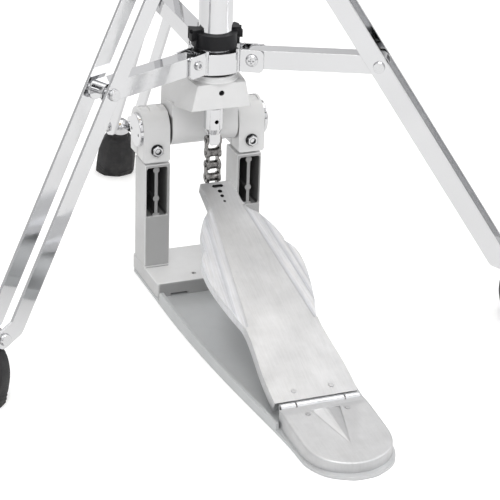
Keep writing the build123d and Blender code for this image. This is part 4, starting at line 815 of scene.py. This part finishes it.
def felt_ring(bottom, height, inner, outer, seed):
    """Pressed felt washer: gently waved faces, rounded outer edge, rough surface."""
    segments = 150
    flat = outer - FELT_ROUND
    steps = [i / 17 for i in range(18)]
    profile = [(inner + (flat - inner) * t, bottom + FELT_WAVE * math.sin(6 * t))
               for t in steps]
    for i in range(1, 12):
        turn = -math.pi / 2 + math.pi * i / 12
        lift = math.sin(turn) * abs(math.sin(turn)) ** 0.25
        profile.append((flat + FELT_ROUND * math.cos(turn),
                        bottom + height / 2 + (height / 2) * lift))
    for t in (1 - step for step in steps):
        profile.append((inner + (flat - inner) * t,
                        bottom + height - FELT_WAVE * math.sin(6 * t)))
    for i in range(1, 6):
        profile.append((inner, bottom + height * (1 - i / 6)))
    rough = np.random.default_rng(seed).normal(0, 1, (len(profile), segments))
    rough = (rough + np.roll(rough, 1, 1) + np.roll(rough, -1, 1)) / 3

    def warp(grid, radius, z, angle):
        shift = -np.abs(FELT_FRAY * rough)
        middle = (inner + outer) / 2
        outward = np.clip((radius - middle) / (outer - middle), -1, 1)
        upward = np.clip((z - (bottom + height / 2)) / (height / 2), -1, 1)
        grid[..., 0] += shift * outward * np.cos(angle)
        grid[..., 1] += shift * outward * np.sin(angle)
        grid[..., 2] += shift * upward
        return grid

    return turned(profile, segments, warp)


low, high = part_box("seat_felt")
make_piece("seat_felt_washer",
           [felt_ring(low.z, high.z - low.z, SEAT_FELT_BORE, high.x, seed=5)],
           "seat_felt", "felt")
low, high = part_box("clutch_felts")
make_piece("clutch_felt_washers",
           [felt_ring(bottom, CLUTCH_FELT_HEIGHT, CLUTCH_FELT_BORE, high.x, seed)
            for bottom, seed in ((low.z, 6), (high.z - CLUTCH_FELT_HEIGHT, 7))],
           "clutch_felts", "felt")


# ---------------------------------------------------------------------------
# cymbals
# ---------------------------------------------------------------------------
# (radius, height above the bell's centre), mm
CYMBAL_OUTLINE = ((6.0, 0.0), (14.0, 0.0), (26.0, 2.2), (38.0, 7.0), (47.0, 12.6),
                  (53.0, 15.4), (62.0, 16.9), (100.0, 21.2), (140.0, 25.2), (178.0, 28.5))
CYMBAL_FACES = (0.00012, 0.00108)       # height of the two faces over the outline
CYMBAL_FACE_R = 0.1776                  # radius where the faces end
CYMBAL_RIM = [(0.17795, 0.0285 + 0.0004), (0.17795, 0.0285 + 0.0009)]   # (radius, height)
CYMBAL_HEIGHT = 0.0297
GROOVE_DEPTH = 0.00006
DENTS = 420
DENT_ZONE = (0.055, 0.172)              # radii between which the dents fall
DENT_HEIGHT = (0.00004, 0.00012)
DENT_SPREAD = 0.0042


def cymbal(name, node, direction, seed):
    """Lathed, hammered plate; its rim is above the bell for direction 1, below for -1."""
    low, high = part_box(node)
    base = low.z if direction > 0 else high.z
    line = smooth_line([(r * MM, z * MM) for r, z in CYMBAL_OUTLINE], step=0.0009)
    rng = np.random.default_rng(seed)
    groove = rng.uniform(-1, 1, len(line)) * GROOVE_DEPTH
    near = [(r, z + CYMBAL_FACES[0] + abs(g)) for (r, z), g in zip(line, groove)]
    far = [(r, z + CYMBAL_FACES[1] - abs(g)) for (r, z), g in zip(line, np.roll(groove, 3))]
    near[-1] = (CYMBAL_FACE_R, near[-1][1])
    far[-1] = (CYMBAL_FACE_R, far[-1][1])
    dent_r = np.sqrt(rng.uniform(DENT_ZONE[0] ** 2, DENT_ZONE[1] ** 2, DENTS))
    dent_angle = rng.uniform(0, 2 * math.pi, DENTS)
    dent_x, dent_y = dent_r * np.cos(dent_angle), dent_r * np.sin(dent_angle)
    dent_height = rng.uniform(*DENT_HEIGHT, DENTS)

    def warp(grid, radius, z, angle):
        """Both faces follow the same dents."""
        x, y = grid[..., 0], grid[..., 1]
        lift = np.zeros_like(x)
        for k in range(DENTS):
            squared = (x - dent_x[k]) ** 2 + (y - dent_y[k]) ** 2
            lift += dent_height[k] * np.exp(-squared / (2 * DENT_SPREAD ** 2))
        grid[..., 2] = z + np.minimum(lift, 0.00022) * 0.9
        return grid

    verts, faces = turned(near + CYMBAL_RIM + far[::-1], 168, warp)
    verts[:, 2] = base + direction * np.clip(verts[:, 2], 0.0, CYMBAL_HEIGHT)
    make_piece(name, [(verts, faces)], node, "cymbal_bronze")


cymbal("lathed_bottom_cymbal", "bottom_cymbal", direction=1, seed=21)
cymbal("lathed_top_cymbal", "top_cymbal", direction=-1, seed=22)


# ---------------------------------------------------------------------------
# floor, lights, world and camera
# ---------------------------------------------------------------------------
FLOOR_HALF = 9.0
FLOOR_DROP = 0.0002     # the floor lies just under the boots


def floor_material():
    """Pale floor that glows a little to the camera only."""
    mat = Mat("pale_floor")
    cloud = mat.rise(mat.noise(scale=3), low=0.3, high=0.7)
    seen = mat.node("ShaderNodeLightPath").outputs["Is Camera Ray"]
    return mat.surface(base=mat.mix(cloud, (0.90, 0.90, 0.90), (0.885, 0.885, 0.885)),
                       rough=0.55, spec=0.3,
                       glow=(1.0, 1.0, 1.0), glow_strength=mat.mul(seen, 0.22))


def make_floor():
    mesh = bpy.data.meshes.new("floor")
    bm = bmesh.new()
    sides = (-FLOOR_HALF, FLOOR_HALF)
    corners = [bm.verts.new((x, y, 0.0)) for x in sides for y in sides]
    bm.faces.new([corners[i] for i in (0, 2, 3, 1)])
    bm.to_mesh(mesh)
    bm.free()
    mesh.polygons[0].use_smooth = True
    ob = bpy.data.objects.new("floor", mesh)
    ob.location.z = -FLOOR_DROP
    scene.collection.objects.link(ob)
    mesh.materials.append(floor_material())


def softbox(name, place, target, size, power):
    light = bpy.data.lights.new(name, "AREA")
    light.shape = "RECTANGLE"
    light.size, light.size_y = size
    light.energy = power
    light.spread = math.pi
    ob = bpy.data.objects.new(name, light)
    scene.collection.objects.link(ob)
    ob.location = place
    ob.rotation_mode = "QUATERNION"
    ob.rotation_quaternion = (Vector(target) - Vector(place)).to_track_quat("-Z", "Y")


# (position round the horizon 0..1, brightness)
WALLS = [(0.0, 0.80), (0.10, 0.95), (0.17, 0.42), (0.22, 0.90), (0.34, 1.0), (0.40, 0.50),
         (0.46, 0.92), (0.60, 0.85), (0.66, 0.30), (0.70, 0.88), (0.86, 0.95), (0.92, 0.48),
         (1.0, 0.80)]
# (elevation from straight down 0 to straight up 1, brightness)
ELEVATION = [(0.0, 0.95), (0.44, 0.95), (0.475, 0.28), (0.52, 0.34), (0.57, 0.95),
             (0.75, 1.05), (1.0, 1.15)]


def make_world():
    """White to the camera, soft to diffuse light, a banded room to reflections."""
    world = bpy.data.worlds.new("studio")
    scene.world = world
    world.use_nodes = True
    sky = Graph(world.node_tree)
    x, y, z = sky.split(sky.node("ShaderNodeTexCoord").outputs["Generated"])
    rays = sky.node("ShaderNodeLightPath").outputs

    def background(colour, strength):
        made = sky.node("ShaderNodeBackground")
        sky.put(made.inputs[0], colour)
        made.inputs[1].default_value = strength
        return made.outputs[0]

    def choose(factor, otherwise, chosen):
        made = sky.node("ShaderNodeMixShader")
        for socket, value in zip(made.inputs, (factor, otherwise, chosen)):
            sky.put(socket, value)
        return made.outputs[0]

    turn = sky.math("MULTIPLY", sky.math("ARCTAN2", y, x), 1 / (2 * math.pi))
    walls = sky.ramp(sky.math("ADD", turn, 0.5),
                     [(at, (v, v, v * 1.01)) for at, v in WALLS], interpolation="EASE")
    height = sky.math("ADD", sky.math("MULTIPLY", z, 0.5), 0.5)
    heights = sky.ramp(height, ELEVATION, interpolation="EASE")
    room = background(sky.mix(1.0, walls, heights, blend="MULTIPLY"), strength=1.0)
    white = (1.0, 1.0, 1.0)
    lit = choose(rays["Is Glossy Ray"], background(white, strength=0.70), room)
    seen = choose(rays["Is Camera Ray"], lit, background(white, strength=1.0))
    sky.put(sky.node("ShaderNodeOutputWorld").inputs[0], seen)


# the camera's own axes and place
CAMERA_RIGHT = Vector((0.9324441, -0.3600211, 0.0305300))
CAMERA_UP = Vector((0.1271945, 0.4061660, 0.9049035))
CAMERA_BACK = Vector((-0.3381846, -0.8398892, 0.4245205))
CAMERA_PLACE = Vector((-0.5936601, -1.5777181, 0.8300400))


def make_camera():
    lens = bpy.data.cameras.new("camera")
    camera = bpy.data.objects.new("camera", lens)
    scene.collection.objects.link(camera)
    lens.sensor_fit = "HORIZONTAL"
    lens.sensor_width = 36.0
    lens.lens = 137.6477
    lens.clip_start, lens.clip_end = 0.05, 40.0
    matrix = Matrix((CAMERA_RIGHT, CAMERA_UP, CAMERA_BACK)).transposed().to_4x4()
    matrix.translation = CAMERA_PLACE
    camera.matrix_world = matrix
    scene.camera = camera


make_floor()
softbox("key_softbox", place=(-0.7, -1.9, 2.3), target=(0, 0, 0.2), size=(1.8, 1.6), power=34)
softbox("fill_softbox", place=(2.1, -0.9, 1.7), target=(0, 0, 0.3), size=(1.4, 1.8), power=15)
softbox("top_softbox", place=(0.1, 0.5, 2.8), target=(0, 0, 0.3), size=(2.6, 2.6), power=28)
make_world()
make_camera()
scene.view_settings.view_transform = "Standard"
